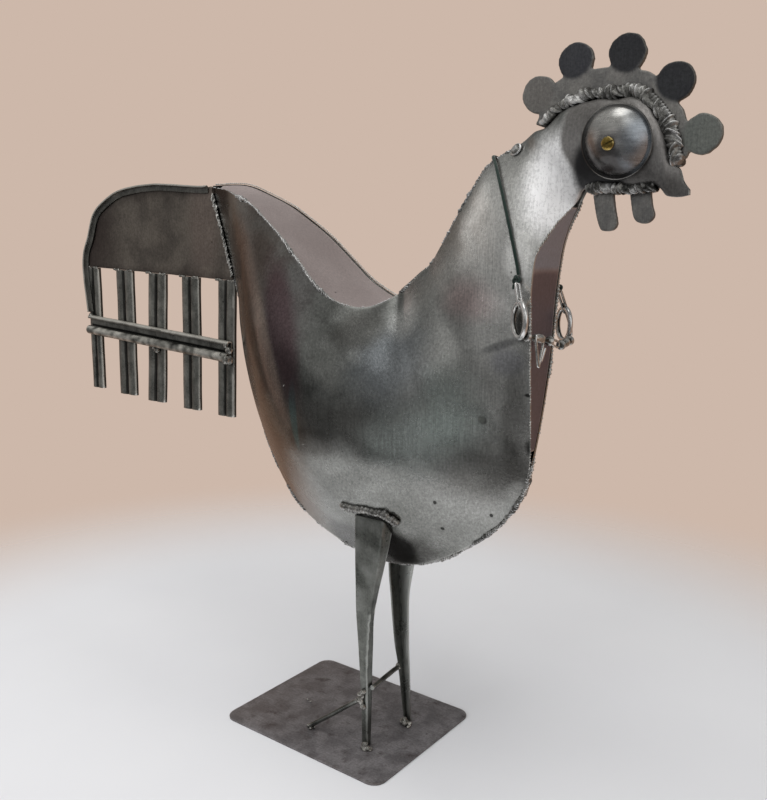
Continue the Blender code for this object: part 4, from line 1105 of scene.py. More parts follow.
@dataclass
class Body(SubAssembly):
    """The two dished side sheets, the back and breast sheets between them, and their seams."""

    sheet: float = 1.2
    swell_lift: float = 0.35
    seam_half: float = 0.6
    # How square the bulge is over the body, the neck and the head.
    arches: Place = (1.15, 1.0, 0.55)
    # Where the seams beside the saddle are out of level: x, height and reach.
    leans: tuple[Place, ...] = ((-103.0, 2.4, 22.0), (20.0, 2.3, 30.0))
    inset_side: float = 1.75
    inset_depth: float = 0.55
    steps_per_rib: int = 6
    rows: int = 44
    # Each rib: its back edge (x, z, half-width), its front edge (x, z, half-width) and its swell.
    body_ribs: Table = (
        (-129.8, 375.9, 0.6, -129, 372.5, 0.6, 0),
        (-105, 374.3, 10, -117, 337.5, 0.6, 1.5),
        (-87, 368.4, 17, -106, 301.5, 0.6, 5),
        (-70, 361.5, 21, -98, 266.5, 0.6, 10.5),
        (-54, 351.5, 24, -90, 226.5, 0.6, 18),
        (-37, 339.5, 26.5, -74, 186.5, 0.6, 26),
        (-20, 324.5, 28.5, -47, 151.5, 0.6, 32),
        (-3, 309.5, 29.5, -10, 132.5, 0.6, 33.5),
        (14, 300.5, 27, 34, 125, 0.6, 33),
        (30, 298.5, 17, 75, 135.5, 0.6, 30.5),
        (42.5, 306.5, 0.6, 115, 164.5, 0.6, 27),
        (56, 317.5, 0.6, 133.5, 190.5, 0.6, 22),
    )
    neck_ribs: Table = (
        (64, 323, 0.6, 137.6, 210.5, 2.6, 17),
        (69.6, 331.3, 0.6, 139.6, 238.5, 8.2, 12.5),
        (76.6, 341.6, 0.6, 140.8, 268.5, 13.2, 8.5),
        (83.4, 352.8, 0.6, 141.2, 290.5, 15.2, 7),
        (89.5, 361.5, 0.6, 141.4, 308.5, 17, 6.5),
        (97.6, 373.5, 0.6, 143.4, 327.5, 17.2, 6.5),
        (107.5, 382.4, 0.6, 147, 337.3, 13.6, 7),
        (117.6, 386.9, 0.6, 152.2, 346.9, 9.3, 7.5),
        (125, 391.1, 0.6, 157.4, 353.8, 5.3, 8),
    )
    head_ribs: Table = (
        (132.5, 395.7, 1.9, 160.8, 359.1, 2.6, 8),
        (140.5, 397.8, 3.1, 163, 363.3, 2.8, 7.7),
        (149, 405, 3.1, 167.5, 366.1, 3.1, 7.7),
        (157.7, 407.8, 3.1, 172.5, 366.4, 3.1, 7.7),
        (169.6, 409.5, 3.1, 178.5, 366.3, 3.1, 7.7),
        (178.1, 408.7, 3.1, 184, 365.5, 3.1, 7.7),
        (189.3, 408.7, 3.1, 190.5, 364.8, 3.1, 7.7),
        (196.3, 403.5, 3.1, 196, 365.2, 3.1, 6.9),
        (202.9, 393.7, 3.1, 200.8, 365.7, 3.1, 5.4),
        (206.3, 384.9, 3.1, 204.6, 363.1, 2.8, 4),
        (208.8, 375.8, 3.1, 207.4, 359.7, 2.2, 2.6),
        (213, 372.4, 1.4, 210.5, 358.9, 1.6, 1.5),
        (215.3, 366.5, 1, 214.5, 358.9, 1.2, 0.7),
        (218.6, 362.1, 1, 218.7, 359.7, 1, 0),
    )
    # The ribs between which the saddle's seams are laid thick.
    crusty: dict[Side, Flat] = field(default_factory=lambda: {Side.RIGHT: (2, 8.8), Side.LEFT: (6.6, 9.4)})
    burnt: Flat = (9.6, 11.8)
    spatter: tuple[tuple[Place, float], ...] = (
        ((-13.5, -49.4, 245.9), 0.7), ((-9.5, -49.4, 240.5), 0.6), ((-4, -49, 241), 0.6),
        ((1, -47.3, 209.5), 0.6), ((-16, -49.2, 249.5), 0.4), ((-7, -49.3, 237), 0.4),
    )
    # The marks of the hammer: x, z, reach and depth, outwards where it is positive.
    dents: Table = (
        (104, 250, 9, -0.9),
        (60, 205, 12, 0.6),
        (-20, 245, 26, -1.6),
        (30, 262, 30, 1.5),
        (85, 285, 24, -1.3),
        (118, 330, 18, 0.9),
    )

    def ribs(self) -> list[tuple[float, ...]]:
        """All ribs from tail to beak, each with its arch."""
        groups = zip((self.body_ribs, self.neck_ribs, self.head_ribs), self.arches)
        return [(*rib, arch) for group, arch in groups for rib in group]

    def saddle_lean(self, x: float) -> float:
        """How far the seams beside the saddle are out of level at x."""
        return sum(height * math.exp(-((x - middle) / reach) ** 2) for middle, height, reach in self.leans)

    def hammering(self, x: float, z: float, side: Side) -> float:
        """How far hand work has pushed the sheet out at a place.

        Args:
            x: The place along the bird.
            z: Its height.
            side: Which sheet.

        Returns:
            The push, outwards where it is positive.
        """
        push = 0.55 * wander((x, z, 40 * side.value), 34.0, 2.0)
        push += 0.22 * wander((x, z, 9 * side.value), 13.0, 5.0)
        for centre_x, centre_z, reach, depth in self.dents:
            push += depth * math.exp(-((x - centre_x) ** 2 + (z - centre_z) ** 2) / reach**2)
        return push

    def skin(self, side: Side, knots: Path, t: float, v: float) -> Place:
        """The place on a side sheet's outer face.

        Args:
            side: Which sheet.
            knots: The ribs.
            t: The rib, from 0 at the tail.
            v: How far down the rib, from 0 at its back edge to 1 at its front edge.

        Returns:
            The place.
        """
        back_x, back_z, back_half, front_x, front_z, front_half, swell, arch = curve_point(knots, t)
        arc = max(0.0, 4 * v * (1 - v))
        hump = arc**arch * (1 + self.swell_lift * (0.5 - v))
        edge = max(back_half, self.seam_half) * (1 - v) + max(front_half, self.seam_half) * v
        x = back_x + (front_x - back_x) * v
        z = back_z + (front_z - back_z) * v + side.value * self.saddle_lean(back_x) * (1 - v)
        work = self.hammering(x, z, side) * min(1.0, arc * 2.2) * min(1.0, max(swell, 0.0) / 8)
        return (x, side.value * (edge + max(swell, 0.0) * hump + work), z)

    def side_sheet(self, side: Side) -> None:
        """Forms one side sheet of true thickness.

        Args:
            side: Which sheet.
        """
        knots = self.ribs()
        last = len(knots) - 1

        def surface(u: float, v: float) -> Place:
            """The sheet's outer face, with its rows closer together at both edges.

            Args:
                u: The share across it.
                v: The share along it.

            Returns:
                The place.
            """
            closer = 0.5 - 0.5 * math.cos(math.pi * v)
            return self.skin(side, knots, u * last, 0.45 * v + 0.55 * closer)

        piece = grid_sheet(f"side_skin_{side.label}", last * self.steps_per_rib, self.rows, surface)
        face_towards(piece, (0, side.value, 0))
        thicken(piece, self.sheet, -1.0)
        smooth(piece, 50)
        self.shop.deliver(piece, BODY_STEEL, [f"{side.label}_side_sheet"])

    def strip(self, name: str, node: str, edges: list[tuple[float, ...]], facing: int) -> None:
        """A sheet between the two side sheets.

        Args:
            name: The piece's name.
            node: The solid that it replaces.
            edges: Its stations (x, z, half-width, lean) along the seams.
            facing: 1 where the sheet lies to the right of the stations' direction, else -1.
        """
        path = beside([edge[0:2] for edge in edges], self.inset_depth * facing)
        stations = [(*place, edge[2], edge[3]) for place, edge in zip(path, edges)]

        def surface(u: float, v: float) -> Place:
            """The strip's outer face, sprung a little hollow between its seams.

            Args:
                u: The share across it.
                v: The share along it.

            Returns:
                The place.
            """
            x, z, half, lean = curve_point(stations, v * (len(stations) - 1))
            spot = 2 * u - 1
            sag = 0.35 * (1 - spot * spot) + 0.3 * wander((x, spot * half, z), 30.0, 8.0)
            return (x + 0.5 * sag * facing, half * spot, z + lean * spot - sag * 0.5)

        piece = grid_sheet(name, 20, 4 * len(stations), surface)
        face_towards(piece, (0.3, 0, 1) if facing > 0 else (1, 0, -0.3))
        thicken(piece, self.sheet, -1.0)
        smooth(piece, 40)
        self.shop.deliver(piece, INNER_STEEL, [node])

    def narrowed(self, stations: list[tuple[float, ...]], keep: float) -> list[tuple[float, ...]]:
        """Stations (x, z, half-width) drawn in from the side sheets, down to a least half-width.

        Args:
            stations: The stations on the side sheets' edges.
            keep: The least half-width.

        Returns:
            The stations that are wide enough.
        """
        kept = []
        for k, (x, z, half) in enumerate(stations):
            before, after = stations[max(k - 1, 0)], stations[min(k + 1, len(stations) - 1)]
            slope = (after[2] - before[2]) / math.dist(before[0:2], after[0:2])
            inner = half - self.inset_side * math.hypot(1, slope)
            if inner > keep:
                kept.append((x, z, inner))
        return kept

    def seam_path(self, back: bool, first: float, last: float, side: Side | None) -> list[Place]:
        """The line of a seam.

        Args:
            back: Whether it is along the ribs' back edges, else along their front edges.
            first: The rib that it starts from.
            last: The rib that it ends at.
            side: The side sheet whose own edge it follows, or None in the middle plane.

        Returns:
            Points along the seam.
        """
        knots = self.ribs()
        points = []
        steps = max(2, round((last - first) * 4))
        for k in range(steps + 1):
            t = first + (last - first) * k / steps
            x, y, z = self.skin(side or Side.RIGHT, knots, t, 0.0 if back else 1.0)
            points.append((x, y if side else 0.0, z))
        return points

    def build(self) -> None:
        """Builds the sheets and welds their seams."""
        for side in Side:
            self.side_sheet(side)
        saddle = [curve_point(self.body_ribs, k / 3)[0:3] for k in range(1, 30)]
        back = [(*place, self.saddle_lean(place[0])) for place in self.narrowed(saddle, 1.0)]
        self.strip("back_strip", "back_sheet", back, 1)
        front = [rib[3:6] for rib in self.neck_ribs + self.head_ribs[0:1]]
        breast = [(*place, 0.0) for place in self.narrowed(even_points(front, 6.0), 0.9)]
        self.strip("breast_strip", "breast_sheet", breast, -1)
        self.seams()

    def seams(self) -> None:
        """Welds along the saddle, the neck's back, the rear, the belly and the breast."""
        first_neck = len(self.body_ribs)
        lines = []
        for side in Side:
            up, ahead = (0, side.value * 0.6, 1), (1, side.value * 0.6, 0)
            near = side is Side.RIGHT
            lift = 0.0 if near else 0.9
            saddle = [(x, y, z + lift) for x, y, z in self.seam_path(True, 0.1, 9.6, side)]
            breast = self.seam_path(False, first_neck - 0.6, first_neck + 8.6, side)
            first, last = self.crusty[side]
            crust = [(x, y, z + lift) for x, y, z in self.seam_path(True, first, last, side)]
            if near:
                lines.append(("seam_saddle_right", saddle, up, Bead.FINE, WELD_METAL, 0.7, 0.3))
                lines.append(("seam_breast_right", breast, ahead, Bead.SEAM, BRIGHT_WELD, 0.9, 0.2))
                lines.append(("seam_crust_right", crust, up, Bead.CRUST, WELD_METAL, 0.8, 0.3))
            else:
                lines.append(("seam_saddle_left", saddle, up, Bead.FINE, BRIGHT_WELD, 0.2, 0.8))
                lines.append(("seam_breast_left", breast, ahead, Bead.BEADED, BRIGHT_WELD, 0.9, 0.5))
                lines.append(("seam_crust_left", crust, up, Bead.SEAM, BRIGHT_WELD, 0.6, 1.0))
        burnt = [(x, y - 1.4, z) for x, y, z in self.seam_path(False, *self.burnt, None)]
        neck_back = self.seam_path(True, 9.9, first_neck + 9.2, None)
        rear = self.seam_path(False, 1.4, 6.2, None)
        belly = self.seam_path(False, 6.2, first_neck, None)
        lines += [
            ("seam_neck_back", neck_back, (-1, 0, 0.6), Bead.CRUST, WELD_METAL, 0.85, 0.2),
            ("seam_rear", rear, (-1, 0, 0), Bead.CRUST, WELD_METAL, 0.88, 0.0),
            ("seam_belly", belly, (0.3, 0, -1), Bead.CRUST, WELD_METAL, 0.9, 0.0),
            ("burnt_edge", burnt, (0.5, -1, -0.2), Bead.CRUST, WELD_METAL, 0.4, 0.0),
        ]
        for name, path, outward, bead, finish, patchy, rub in lines:
            piece = self.shop.welder.lay(name, [(path, outward)], bead, patchy=patchy)
            paint_wear(piece, lambda point: rub + 0.5 * wander(point, 4.0, 3.0))
            self.shop.deliver(piece, finish)
        self.shop.deliver(self.shop.welder.spots("spatter", self.spatter), BRIGHT_WELD)


@dataclass
class Head(SubAssembly):
    """The comb plate, the wattles, the bell-dome eyes with their screws, and the welds that hold them."""

    plate_thickness: float = 3.0
    band: tuple[Flat, ...] = (
        (132, 399.7), (143, 420.1), (168.9, 425.4), (195.2, 420.1), (212.5, 401.3), (216.6, 377.8),
    )
    lobe_radius: float = 9.9
    lobes: tuple[Flat, ...] = (
        (133.7, 415.3), (154.7, 430), (182.5, 431.1), (208.1, 414.4), (223.1, 388.6),
    )
    crown: tuple[Flat, ...] = (
        (138, 400.8), (147.1, 408.4), (156.8, 411.6), (169.5, 413.4), (178.3, 412.6), (190.5, 412.4),
        (199.1, 406.2), (206.4, 395.5), (210, 386.1), (212.6, 376.8),
    )
    crown_widths: tuple[float, ...] = (0.75, 0.9, 1.0, 1.05, 1.1, 1.0, 1.15, 1.4, 1.35, 1.0)
    root_depth: float = 6.5
    throat: tuple[Flat, ...] = ((166.5, 362.1), (176.0, 362.8), (189.4, 361.3), (200.6, 361.9))
    wattle_root: float = 366.5
    wattles: tuple[tuple[str, tuple[Flat, ...]], ...] = (
        ("wattle_rear", ((168.0, 360.1), (170.2, 350.1), (172.8, 343.3), (175.7, 342.1), (180.1, 342.7),
                         (182.1, 345.8), (180.6, 353.1), (179.4, 360.1))),
        ("wattle_front", ((188.2, 360.1), (190.6, 349.3), (194.0, 346.2), (198.8, 346.2), (201.7, 349.6),
                          (200.3, 354.7), (199.4, 360.1))),
    )
    eye: Place = (183.6, 11.3, 386.4)
    eye_tilt: float = 10.0
    dome_radius: float = 18.9
    dome_height: float = 10.6
    dome_wall: float = 1.0
    dome_lip: float = 1.4
    dome_hole: float = 2.2
    screw_radius: float = 3.3
    screw_height: float = 1.8
    shank: Flat = (1.6, 5.0)
    slot_width: float = 0.9
    button_centre: Place = (122.2, -3.4, 386.8)
    button_outward: Place = (-0.30, -0.86, 0.42)
    button_radius: float = 3.7
    button_height: float = 2.4

    def comb_outline(self) -> list[Flat]:
        """The comb's band with its round lobes, closed by its root between the side sheets.

        Returns:
            Its corners (x, z) in order.
        """
        edge = even_points(self.band, 0.8)
        for centre in self.lobes:
            edge = self.lobe_round(edge, centre)
        kept = [edge[0]]
        for point in edge[1:]:
            if math.dist(point, kept[-1]) > 1.0:
                kept.append(point)
        nibbled = []
        for x, z in kept:
            shift_x = 0.35 * wander((x, z, 0), 3.0, 1.0) + 0.6 * wander((x, z, 0), 9.0, 6.0)
            shift_z = 0.35 * wander((x, z, 0), 3.0, 4.0) + 0.6 * wander((x, z, 0), 9.0, 8.0)
            nibbled.append((x + shift_x, z + shift_z))
        return nibbled + beside(even_points(self.crown, 4.0), self.root_depth)[::-1]

    def lobe_round(self, path: list[Flat], centre: Flat) -> list[Flat]:
        """The path with its stretch inside a lobe's circle replaced by the circle's outer arc.

        Args:
            path: The path so far.
            centre: The lobe's centre.

        Returns:
            The new path.
        """
        radius = self.lobe_radius
        inside = [math.dist(point, centre) < radius for point in path]
        first = inside.index(True)
        last = len(inside) - 1 - inside[::-1].index(True)
        start = math.atan2(path[first][1] - centre[1], path[first][0] - centre[0])
        end = math.atan2(path[last][1] - centre[1], path[last][0] - centre[0])
        while end >= start:
            end -= 2 * math.pi
        steps = 44
        angles = (start + (end - start) * k / steps for k in range(steps + 1))
        arc = [(centre[0] + radius * math.cos(a), centre[1] + radius * math.sin(a)) for a in angles]
        return path[:first] + arc + path[last + 1 :]

    def dome_arc(self, radius: float, height: float, steps: int) -> list[Flat]:
        """An arc from a dome's rim to its hole.

        Args:
            radius: The rim's radius.
            height: The dome's height.
            steps: Pieces in the arc.

        Returns:
            Its points (radius, height).
        """
        sphere = (radius * radius + height * height) / (2 * height)
        start, end = math.asin(radius / sphere), math.asin(self.dome_hole / sphere)
        angles = (start + (end - start) * k / steps for k in range(steps + 1))
        return [(sphere * math.sin(a), sphere * math.cos(a) - sphere + height) for a in angles]

    def eye_pair(self) -> None:
        """A hollow spun dome with a rolled lip on each side of the head, held by a slotted brass screw."""
        foot = self.dome_radius - self.dome_lip
        outer = self.dome_arc(foot, self.dome_height, 18)
        inner = self.dome_arc(foot - self.dome_wall, self.dome_height - self.dome_wall, 14)
        lip = [(foot, 0.0), (self.dome_radius - 0.3, 0.0), (self.dome_radius, 0.35),
               (self.dome_radius - 0.15, 0.95), (self.dome_radius - 0.6, 1.15), (foot + 0.35, 0.95)]
        profile = inner[::-1] + lip + outer[1:]
        seat = self.dome_height + GAP
        top = seat + self.screw_height
        head = [(self.shank[0], seat), (self.screw_radius - 0.2, seat), (self.screw_radius, seat + 0.25),
                (self.screw_radius, seat + 0.8), (self.screw_radius * 0.88, seat + 1.25),
                (self.screw_radius * 0.6, top - 0.25), (self.screw_radius * 0.3, top - 0.05), (0.0, top)]
        screw = [(0.0, seat - self.shank[1]), (self.shank[0], seat - self.shank[1])] + head
        tilt = math.radians(self.eye_tilt)
        for side in Side:
            axis = (0.0, side.value * math.cos(tilt), -math.sin(tilt))
            centre = (self.eye[0], side.value * self.eye[1], self.eye[2])
            dome = turned(f"bell_dome_{side.label}", profile, 96, axis, centre, hollow=True)
            middle, ahead = Vector(centre), Vector(axis)
            # Painted shade: the rolled lip is painted darker all round, as shade against the head.
            paint_wear(dome, lambda point: (
                0.5 * wander(point, 8.0) - 0.55 if (point - middle).cross(ahead).length > foot + 0.2 else 0.0
            ))
            self.shop.deliver(dome, DOME_STEEL, [f"{side.label}_eye_dome"])
            pin = turned(f"brass_screw_{side.label}", screw, 40, axis, centre)
            self.cut_slot(pin, middle + ahead * top, axis)
            self.shop.deliver(pin, BRASS, [f"{side.label}_eye_screw"])

    def cut_slot(self, pin: Piece, top: Vector, axis: Place) -> None:
        """Saws the driver's slot across a screw head.

        Args:
            pin: The turned screw.
            top: The middle of its head.
            axis: Its axis.
        """
        deselect_all()
        bpy.ops.mesh.primitive_cube_add(size=1.0)
        saw = new_piece("slot_saw")
        saw.data.transform(Matrix.Diagonal((12 * MM, self.slot_width * MM, 2.2 * MM, 1.0)))
        saw.data.transform(Matrix.Rotation(math.radians(24), 4, "Z"))
        saw.data.transform(turn_upright(axis, top))
        apply_modifier(pin, "BOOLEAN", operation="DIFFERENCE", solver="EXACT", object=saw)
        bpy.data.objects.remove(saw, do_unlink=True)
        smooth(pin, 32)

    def build(self) -> None:
        """Builds the head's pieces and their welds."""
        comb = cut_plate("comb_cut", self.comb_outline(), self.plate_thickness, 0.7, 0.5)
        edge = self.plate_thickness / 2 - 0.35
        # Painted highlight: the plate's cut edges are painted lighter along its rim.
        paint_wear(comb, lambda point: 0.45 + 0.5 * wander(point, 6.0) if abs(point.y) < edge else 0.0)
        self.shop.deliver(comb, COMB_STEEL, ["comb_plate"])
        for node, tongue in self.wattles:
            root = [(tongue[-1][0], self.wattle_root), (tongue[0][0], self.wattle_root)]
            outline = even_points(tongue, 1.0) + root
            piece = cut_plate(f"{node}_cut", outline, self.plate_thickness, 0.55, 0.15)
            self.shop.deliver(piece, COMB_STEEL, [node])
        self.eye_pair()
        face = self.plate_thickness / 2
        for side in Side:
            out = (0, side.value, 0)
            crown = [(x, side.value * (face + 0.8), z) for x, z in beside(self.crown, 0.9)]
            bead = self.shop.welder.lay(
                f"rope_weld_{side.label}", [(crown, out)], Bead.ROPE, widths=self.crown_widths
            )
            paint_wear(bead, lambda point: 1.2 * wander(point, 13.0, 5.0) - 0.1)
            self.shop.deliver(bead, WELD_METAL, [f"weld_comb_{side.label}"])
            throat = [(x, side.value * (face + 1.6), z + 2.2) for x, z in self.throat]
            bead = self.shop.welder.lay(f"throat_bead_{side.label}", [(throat, out)], Bead.THICK)
            paint_wear(bead, lambda point: 1.5 * wander(point, 8.0, 6.0) - 0.2)
            self.shop.deliver(bead, WELD_METAL, [f"weld_throat_{side.label}"])
        r, h = self.button_radius, self.button_height
        profile = [(0.0, 0.0), (r, 0.0), (r, h * 0.25), (r * 0.86, h * 0.4), (r * 0.68, h * 0.34),
                   (r * 0.6, h * 0.5), (r * 0.45, h * 0.85), (r * 0.2, h), (0.0, h)]
        stud = turned("neck_stud", profile, 40, self.button_outward, self.button_centre)
        self.shop.deliver(stud, WELD_METAL, ["neck_button"])


@dataclass
class Tail(SubAssembly):
    """The tail's panel, rim, channel slats and cross bar, with their welds."""

    panel_thickness: float = 2.0
    rim: tuple[Flat, ...] = (
        (-133.5, 376.8), (-143.4, 376.9), (-188.2, 380.1), (-220.4, 379), (-245.4, 374.3),
        (-270.9, 360.5), (-282, 339.8), (-290.6, 317.9), (-286.6, 276.5),
    )
    rim_width: float = 6.0
    bottom: tuple[Flat, Flat] = ((-288.4, 315.0), (-108.9, 307.9))
    top_right: Flat = (-130.6, 376.5)
    seam: tuple[Flat, ...] = (
        (-74, 186.5), (-90, 226.5), (-98, 266.5), (-106, 301.5), (-117, 337.5), (-129, 372.5),
    )
    # Each slat: its left and right edges, the height of its foot, and how far that is out of plumb.
    slats: Table = (
        (-288.5, -273.4, 211.3, 0),
        (-249.2, -227.9, 209.6, -1.2),
        (-207.3, -186.2, 207.7, -6.3),
        (-167, -147.4, 206.3, -3),
        (-126.2, -108.4, 205.5, -3.8),
    )
    front: float = -1.0
    slat_depth: float = 3.2
    slat_sheet: float = 1.0
    bar_ends: tuple[Flat, Flat] = ((-283.2, 258.4), (-111.5, 247.5))
    roll_radius: float = 3.7
    bar_height: float = 16.0
    bar_lip: float = 2.0

    def bottom_z(self, x: float) -> float:
        """The height of the panel's bottom edge at x."""
        (ax, az), (bx, bz) = self.bottom
        return az + (bz - az) * (x - ax) / (bx - ax)

    def seam_between(self, low: float, high: float, spacing: float) -> list[Flat]:
        """The rear seam between two heights, from the bottom up."""
        return [point for point in even_points(self.seam, spacing) if low <= point[1] <= high]

    def panel(self) -> None:
        """The flat panel, cut to the rim and to the rear seam."""
        rim = even_points(self.rim, 2.5)
        top_edge = [p for p in beside(rim, -1.0) if p[1] > self.bottom[0][1] + 1.0]
        seam = beside(self.seam_between(self.bottom_z(-109.0) + 1, self.top_right[1] - 4, 3.0), -1.0)
        outline = [self.top_right] + top_edge + [self.bottom[0], self.bottom[1]] + seam
        piece = cut_plate("tail_panel_cut", outline, self.panel_thickness, 0.75, 0.7)
        self.shop.deliver(piece, TAIL_STEEL, ["tail_panel"])

    def rim_angle(self) -> None:
        """The bent angle round the panel: a lip that stands out in front, and a flange against the panel."""
        path = even_points(self.rim, 2.0)
        back = -self.panel_thickness / 2 - GAP - 0.6
        section = rounded([(0.7, back - 2.6), (0.7, back), (self.rim_width - 0.6, back + 0.05)], 0.9)

        def surface(u: float, v: float) -> Place:
            """The angle's middle face.

            Args:
                u: The share across it.
                v: The share along it.

            Returns:
                The place.
            """
            inward, y = along(section, u)
            x, z = curve_point(path, v * (len(path) - 1))
            ax, az = curve_point(path, max(0.0, v * (len(path) - 1) - 0.5))
            bx, bz = curve_point(path, min(len(path) - 1.0, v * (len(path) - 1) + 0.5))
            length = math.hypot(bx - ax, bz - az)
            inward += 0.25 * wander((x, y, z), 14.0, 3.0)
            return (x - (bz - az) / length * inward, y, z + (bx - ax) / length * inward)

        piece = grid_sheet("rim_angle", 12, 2 * len(path), surface)
        thicken(piece, 1.2, 0.0)
        soften(piece, 0.25)
        # Painted light and shade: the lip's lit edge is painted bright, and the flange behind it dark.
        paint_wear(piece, lambda point: 0.7 + 0.4 * wander(point, 9.0) if point.y < back - 1.7 else -0.55)
        self.shop.deliver(piece, RIB_STEEL, ["tail_rim"])

    def slat_strip(self, number: int, left: float, right: float, bottom: float, lean: float) -> None:
        """One folded channel whose two lips face forwards, with a slot between them that is painted dark as
        shade.

        Args:
            number: Its place in the row, from 1 at the tail's end.
            left: Its left edge.
            right: Its right edge.
            bottom: The height of its foot.
            lean: How far its foot is out of plumb.
        """
        half = (right - left) / 2
        middle = (left + right) / 2
        lip = self.front + 0.2
        deep = self.front + self.slat_depth
        edge = half - self.slat_sheet / 2
        corners = [(-0.75, deep - 1.6), (-0.8, lip + 0.1), (-edge * 0.55, lip - 0.35), (-edge, lip + 0.3),
                   (-edge, deep), (edge, deep), (edge, lip + 0.3), (edge * 0.55, lip - 0.35),
                   (0.8, lip + 0.1), (0.75, deep - 1.6)]
        section = rounded(corners, 1.1)

        def surface(u: float, v: float) -> Place:
            """The channel's middle face, from its foot up, bent and nicked a little by hand.

            Args:
                u: The share across it.
                v: The share along it.

            Returns:
                The place.
            """
            x, y = along(section, u)
            top = self.bottom_z(middle + x) - GAP
            z = bottom + (top - bottom) * v
            bow = 0.35 * wander((number * 50.0, 0.0, z), 32.0, 6.0)
            return (middle + x + lean * (1 - v) + bow, y + 0.3 * wander((x, number * 31.0, z), 18.0, 7.0), z)

        piece = grid_sheet(f"slat_channel_{number}", 48, 44, surface)
        thicken(piece, self.slat_sheet, 0.0)
        soften(piece, 0.2, angle=60)
        foot = bottom

        def wear(point: Vector) -> float:
            """Outer corners bright, partly worn and partly painted highlight; the slot and the sides painted
            black as shade; streaks of scale between them.

            Args:
                point: A place on the piece.

            Returns:
                How worn it is, and how it is painted for light and shade.
            """
            drop = min(1.0, max(0.0, 1 - (point.z - foot) / (self.bottom_z(middle) - foot)))
            off = abs(point.x - middle - lean * drop)
            streak = 0.45 * wander((point.x * 5, 0, point.z), 26.0, number * 3.0)
            if point.y > deep:
                return streak - 0.2
            # Painted shade: the slot and the channel's sides are black.
            if off < 1.7 or point.y > self.front + 1.2:
                return -0.95
            return streak + (0.75 if off > edge - 0.5 else -0.25)

        paint_wear(piece, wear)
        self.shop.deliver(piece, RIB_STEEL, [f"tail_slat_{number}"])

    def cross_bar(self) -> None:
        """The channel across the slats: a thin lip on top and a round roll along its bottom."""
        face = self.front - GAP - 0.6
        roll_y = face - self.roll_radius + 0.6
        radius = self.roll_radius - 0.6
        lip, top = face - 2 * self.bar_lip, self.bar_height - 0.6
        section = rounded([(lip, top - 2.0), (lip, top), (face, top), (face, self.roll_radius)], 0.8)
        for k in range(1, 19):
            angle = math.radians(270) * k / 18
            section.append((roll_y + radius * math.cos(angle), self.roll_radius - radius * math.sin(angle)))

        def surface(u: float, v: float) -> Place:
            """The bar's middle face, from its left end to its right end.

            Args:
                u: The share across it.
                v: The share along it.

            Returns:
                The place.
            """
            y, rise = along(section, u)
            (ax, az), (bx, bz) = self.bar_ends
            x, z = ax + (bx - ax) * v, az + (bz - az) * v
            dent = 0.35 * wander((x, rise, 0), 16.0, 9.0)
            return (x, y + dent, z + rise + 0.4 * wander((x, 0, 0), 40.0, 2.0))

        piece = grid_sheet("cross_channel", 56, 110, surface)
        thicken(piece, 1.1, 0.0)
        soften(piece, 0.2, angle=60)
        (ax, az), (bx, bz) = self.bar_ends

        def wear(point: Vector) -> float:
            """A lip, web and roll painted for light and shade, with bright specks on the roll's front.

            The lip's top is a painted highlight; the web, the crease above the roll and the roll's back are
            painted shade.

            Args:
                point: A place on the piece.

            Returns:
                How worn it is, and how it is painted for light and shade.
            """
            rise = point.z - az - (bz - az) * (point.x - ax) / (bx - ax)
            specks = wander(point, 5.0, 7.0)
            # Painted highlight on the lip's top; painted shade on the web, the crease and the roll's back.
            if rise > self.bar_height - 1.6:
                return 0.85 + 0.4 * specks
            if rise > 2 * self.roll_radius + 1.0:
                return -0.35 + 0.4 * specks
            if rise > 2 * self.roll_radius - 0.4:
                return -1.0
            return 0.3 + 1.6 * specks if point.y < face - 2.0 else -0.4

        paint_wear(piece, wear)
        self.shop.deliver(piece, RIB_STEEL, ["tail_cross_bar"])

    def welds(self) -> None:
        """The bead on both faces along the body, and the tacks at the slats and the bar."""
        low = self.bottom_z(-109.0) + 1
        face = self.panel_thickness / 2
        for side in Side:
            line = beside(self.seam_between(low, self.top_right[1] - 6, 4.0), -0.9)
            run = [(x, side.value * (face + 0.5), z) for x, z in line]
            bead = self.shop.welder.lay(
                f"tail_bead_{side.label}", [(run, (-0.3, side.value, 0))], Bead.SCAB, scale=1.3, patchy=0.5
            )
            paint_wear(bead, lambda point: 0.3 + 0.9 * wander(point, 3.0, 1.0))
            self.shop.deliver(bead, BRIGHT_WELD, [f"weld_tail_{side.label}"])
        tacks = []
        for left, right, _, _ in self.slats:
            for x in (left + 2.0, right - 2.5):
                for d in (-3.0, -1.2, 0.6, 2.2):
                    tacks.append(((x + d, self.front - 0.4, self.bottom_z(x + d) - 0.2), 1.1))
        self.shop.deliver(self.shop.welder.spots("slat_tacks", tacks), BRIGHT_WELD)
        (ax, az), (bx, bz) = self.bar_ends
        ends = [((bx - 1.5, -6.0, bz + 3.5), 4.2), ((bx - 5.0, -6.5, bz + 4.5), 3.2),
                ((bx - 0.5, -4.5, bz + 9.0), 3.0), ((bx - 2.5, -5.5, bz + 13.5), 2.0),
                ((ax + 1.0, -4.0, az + 15.5), 2.2), ((-197.0, -2.5, bz + 4.0), 2.6),
                ((-201, -3, bz + 5), 2.2)]
        self.shop.deliver(self.shop.welder.spots("bar_tacks", ends), BRIGHT_WELD)

    def build(self) -> None:
        """Builds the tail."""
        self.panel()
        self.rim_angle()
        for number, slat in enumerate(self.slats, 1):
            self.slat_strip(number, *slat)
        self.cross_bar()
        self.welds()


